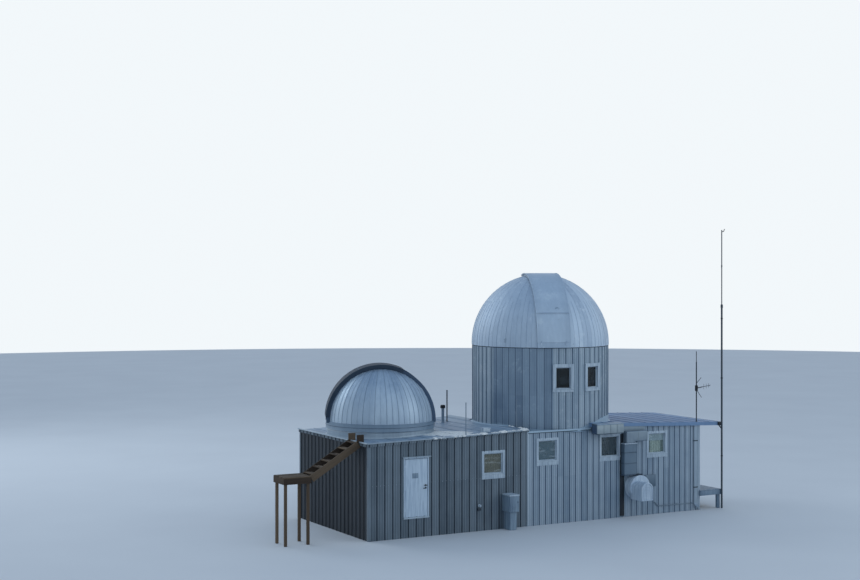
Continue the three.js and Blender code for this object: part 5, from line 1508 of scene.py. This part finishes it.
# Masts, poles and roof fittings
def masts():
    """The weather mast with its joint, brace, clamps and hook, and the aerial mast with its boom,
    struts and rods."""
    x, y = 6.6, -2.71
    wide, thin, joint, top = 0.036, 0.02, 7.8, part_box("weather_mast")[1].z - 0.05
    mast = [
        lathe([(0, 0), (wide, 0), (wide, joint - 0.07), (0.046, joint - 0.066), (0.046, joint + 0.05),
               (0.03, joint + 0.07), (thin, joint + 0.075), (thin, 9.3), (thin + 0.006, 9.31),
               (thin + 0.006, 9.39), (thin, 9.4), (thin, top), (0, top + 0.004)], (x, y, 0), 24,
              fold=0.2),
        block((x - 0.17, y - 0.02, 3.2), (x + 0.02, FRONT - 0.1, 3.34), 0.005, fold=0.5),
        bar((x, y, 3.06), (x - 0.16, y, 3.235), BACK, 0.036, 0.036, 0.005, fold=0.5),
        bar((x, y, 10.68), (x + 0.095, y, 10.692), BACK, 0.026, 0.028, 0.006, fold=0.5),
        bar((x + 0.085, y, 10.68), (x + 0.14, y, 10.785), BACK, 0.024, 0.024, 0.006, fold=0.5)]
    mast += [lathe([(wide - 0.002, z), (wide + 0.008, z + 0.002), (wide + 0.008, z + 0.048),
                    (wide - 0.002, z + 0.05)], (x, y, 0), 24, fold=0.6) for z in (2.0, 5.0, 7.3)]
    put("mast_tubes", mast, mast_steel, stands_for=["weather_mast"])

    low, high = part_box("aerial_mast")
    x, y, boom_z = 5.52, -2.51, 4.66

    def along(out):
        return np.array([x + out, y, boom_z + 0.092 * out / 0.69])
    aerial = [
        lathe([(0, low.z), (0.05, low.z), (0.05, low.z + 0.012), (0.022, low.z + 0.02),
               (0.022, high.z - 0.4), (0.014, high.z - 0.39), (0.014, high.z), (0, high.z + 0.002)],
              (x, y, 0), 20, fold=0.2),
        block((x - 0.042, y - 0.042, boom_z - 0.11), (x + 0.042, y + 0.042, boom_z + 0.11), 0.01,
              fold=0.5),
        bar(along(0), along(0.3), BACK, 0.034, 0.034, 0.008, fold=0.3),
        bar(along(0.28), along(0.69), BACK, 0.02, 0.02, 0.006, fold=0.3)]
    aerial += [bar((x, y, boom_z + start), (x + out, y, boom_z + end), BACK, 0.018, 0.018, 0.005)
               for start, end, out in ((0.175, 0.405, 0.234), (-0.055, -0.37, 0.254))]
    aerial += [tube([along(out) - UP * half, along(out) + UP * half], 0.006, BACK, 8, fold=0.3)
               for out, half in ((0.36, 0.1), (0.48, 0.09), (0.6, 0.08))]
    put("aerial_rods", aerial, dark_steel, stands_for=["aerial_mast"])


def roof_fittings():
    """Two poles and a rod on flanges, the vent with its cap, and a small box."""
    for node, radius, finish in (("roof_pole", 0.024, mast_steel), ("eave_pole", 0.018, trim_steel),
                                 ("roof_rod", 0.014, trim_steel)):
        low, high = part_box(node)
        wide = radius * 2.2
        put(node + "_tube", lathe([
            (0, low.z), (wide, low.z), (wide, low.z + 0.014), (radius + 0.004, low.z + 0.02),
            (radius, low.z + 0.06), (radius, high.z - 0.03), (radius + 0.004, high.z - 0.028),
            (radius + 0.004, high.z - 0.004), (0, high.z)],
            ((low.x + high.x) / 2, (low.y + high.y) / 2, 0), 20, fold=0.2), finish,
            stands_for=[node])
    low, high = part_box("roof_vent")
    centre = ((low.x + high.x) / 2, (low.y + high.y) / 2, 0)
    put("roof_vent_pipe", lathe([
        (0, low.z), (0.12, low.z), (0.12, low.z + 0.01), (0.065, low.z + 0.03), (0.055, low.z + 0.1),
        (0.055, high.z - 0.1), (0, high.z - 0.1)], centre), trim_steel, stands_for=["roof_vent"])
    put("roof_vent_cap", lathe([
        (0, high.z - 0.13), (0.08, high.z - 0.13), (0.095, high.z - 0.12), (0.095, high.z - 0.03),
        (0.07, high.z - 0.008), (0, high.z)], centre), black_rubber)
    low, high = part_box("roof_box")
    put("roof_box_case", [
        block(low, (high.x, high.y, high.z - 0.03), 0.008),
        block((low.x - 0.006, low.y - 0.006, high.z - 0.035), (high.x + 0.006, high.y + 0.006, high.z),
              0.008),
        lathe([(0, 0), (0.02, 0), (0.02, -0.03), (0, -0.03)], (low.x + 0.1, low.y, low.z + 0.06), 16,
              BACK)], white_coat, stands_for=["roof_box"])


def finish_solids():
    """Finishes for the solids that stay as they are: walls seen inside, roofs, floors, track."""
    inside = ["west_front_wall_left", "west_front_wall_right", "west_door_lintel",
              "west_door_threshold", "west_end_wall", "west_back_wall", "west_return_wall",
              "east_front_wall", "east_end_wall", "east_back_wall", "tower_lower_wall",
              "tower_upper_wall_front", "tower_upper_wall_right", "tower_upper_wall_left"]
    finishes = {room_paint: inside, concrete: ["ground_floor", "tower_floor"],
                trim_steel: ["west_roof", "middle_roof", "east_roof", "small_dome_curb"],
                mast_steel: ["main_dome_track"], white_coat: ["east_door"]}
    for finish, nodes in finishes.items():
        for node in nodes:
            solid = frame["nodes"][node].data
            solid.materials.clear()
            solid.materials.append(finish)


# The studio: a plain pale floor, soft light and the camera
FOCAL = 62.8
CAMERA_PLACE = (-31.4, -47.96, 9.2)
CAMERA_HEADING = 29
PICTURE_WIDTH = 860


def stand(name, data, place, ahead):
    """A camera or a lamp at a place, facing along a direction."""
    piece = bpy.data.objects.new(name, data)
    piece.location = place
    piece.rotation_euler = Vector(ahead).to_track_quat("-Z", "Y").to_euler()
    bpy.context.scene.collection.objects.link(piece)
    return piece


def camera():
    data = bpy.data.cameras.new("camera")
    data.lens, data.sensor_width, data.clip_end = FOCAL, 36, 1000
    data.shift_x, data.shift_y = 0.5 / PICTURE_WIDTH, -20 / PICTURE_WIDTH
    heading = math.radians(CAMERA_HEADING)
    bpy.context.scene.camera = stand("camera", data, CAMERA_PLACE,
                                     (math.sin(heading), math.cos(heading), 0))


def studio():
    """A pale card of a floor with faint clouds 5 m across, a soft sky that is paler at one side
    and bluer overhead, and two wide lamps."""
    card, tree = empty_material("pale_backdrop_card")
    place = add(tree, "TexCoord", out="Object")
    clouds = add(tree, "TexNoise", {"Vector": place, "Scale": 0.2, "Detail": 2.0})
    coated(card, "c9cdd2", [(clouds, 0.0, 1.0, 1.0, "d3d7db")], 0.9)
    turn = np.linspace(0, 2 * np.pi, RIM_STEPS)[:-1]
    rings = np.array([0.01, 12, 40, 120])[:, None]
    points = coords(rings * np.cos(turn), rings * np.sin(turn), -0.002)
    floor = put("studio_floor", grid(points, wrap=(False, True)), card)

    world = bpy.data.worlds.new("soft_studio")
    world.use_nodes = True
    tree = world.node_tree
    tree.nodes.clear()
    direction = add(tree, "TexCoord", out="Generated")
    side = add(tree, "VectorMath", {0: direction, 1: (0.5, 0.86, -0.1)}, "Value",
               operation="DOT_PRODUCT")
    height = add(tree, "SeparateXYZ", {0: direction}, "Z")
    glow = colour("bcc5cb")
    for measure, low, high, code in ((side, -0.9, 0.9, "e2e7ea"), (height, 0.25, 0.95, "849fbe")):
        factor = add(tree, "MapRange", {0: measure, 1: low, 2: high})
        glow = add(tree, "Mix", {0: factor, 6: glow, 7: colour(code)}, 2, data_type="RGBA")
    add(tree, "OutputWorld", {"Surface": add(tree, "Background", {"Color": glow, "Strength": 1.17})})
    bpy.context.scene.world = world
    for name, place, power, size, tint in (("key", (26, -34, 20), 2600, 24, "e6f0f6"),
                                           ("rim", (-22, 30, 24), 3000, 18, "e6eff6")):
        data = bpy.data.lights.new(name, "AREA")
        data.energy, data.size, data.color = power, size, colour(tint)[:3]
        stand(name, data, place, Vector((0, 0, 4)) - Vector(place))
    bpy.context.scene.view_settings.view_transform = "Standard"


for build in (camera, west_wing_cladding, east_wing_cladding, tower_cladding, wall_trims,
              west_eaves, coating_patch, east_eaves, roofs, tower_flashings, main_dome, small_dome,
              curb, windows, west_door, east_door, stair, landing, porch, ducts, eave_hood, blower,
              cabinet, wall_fittings, masts, roof_fittings, finish_solids, studio):
    build()
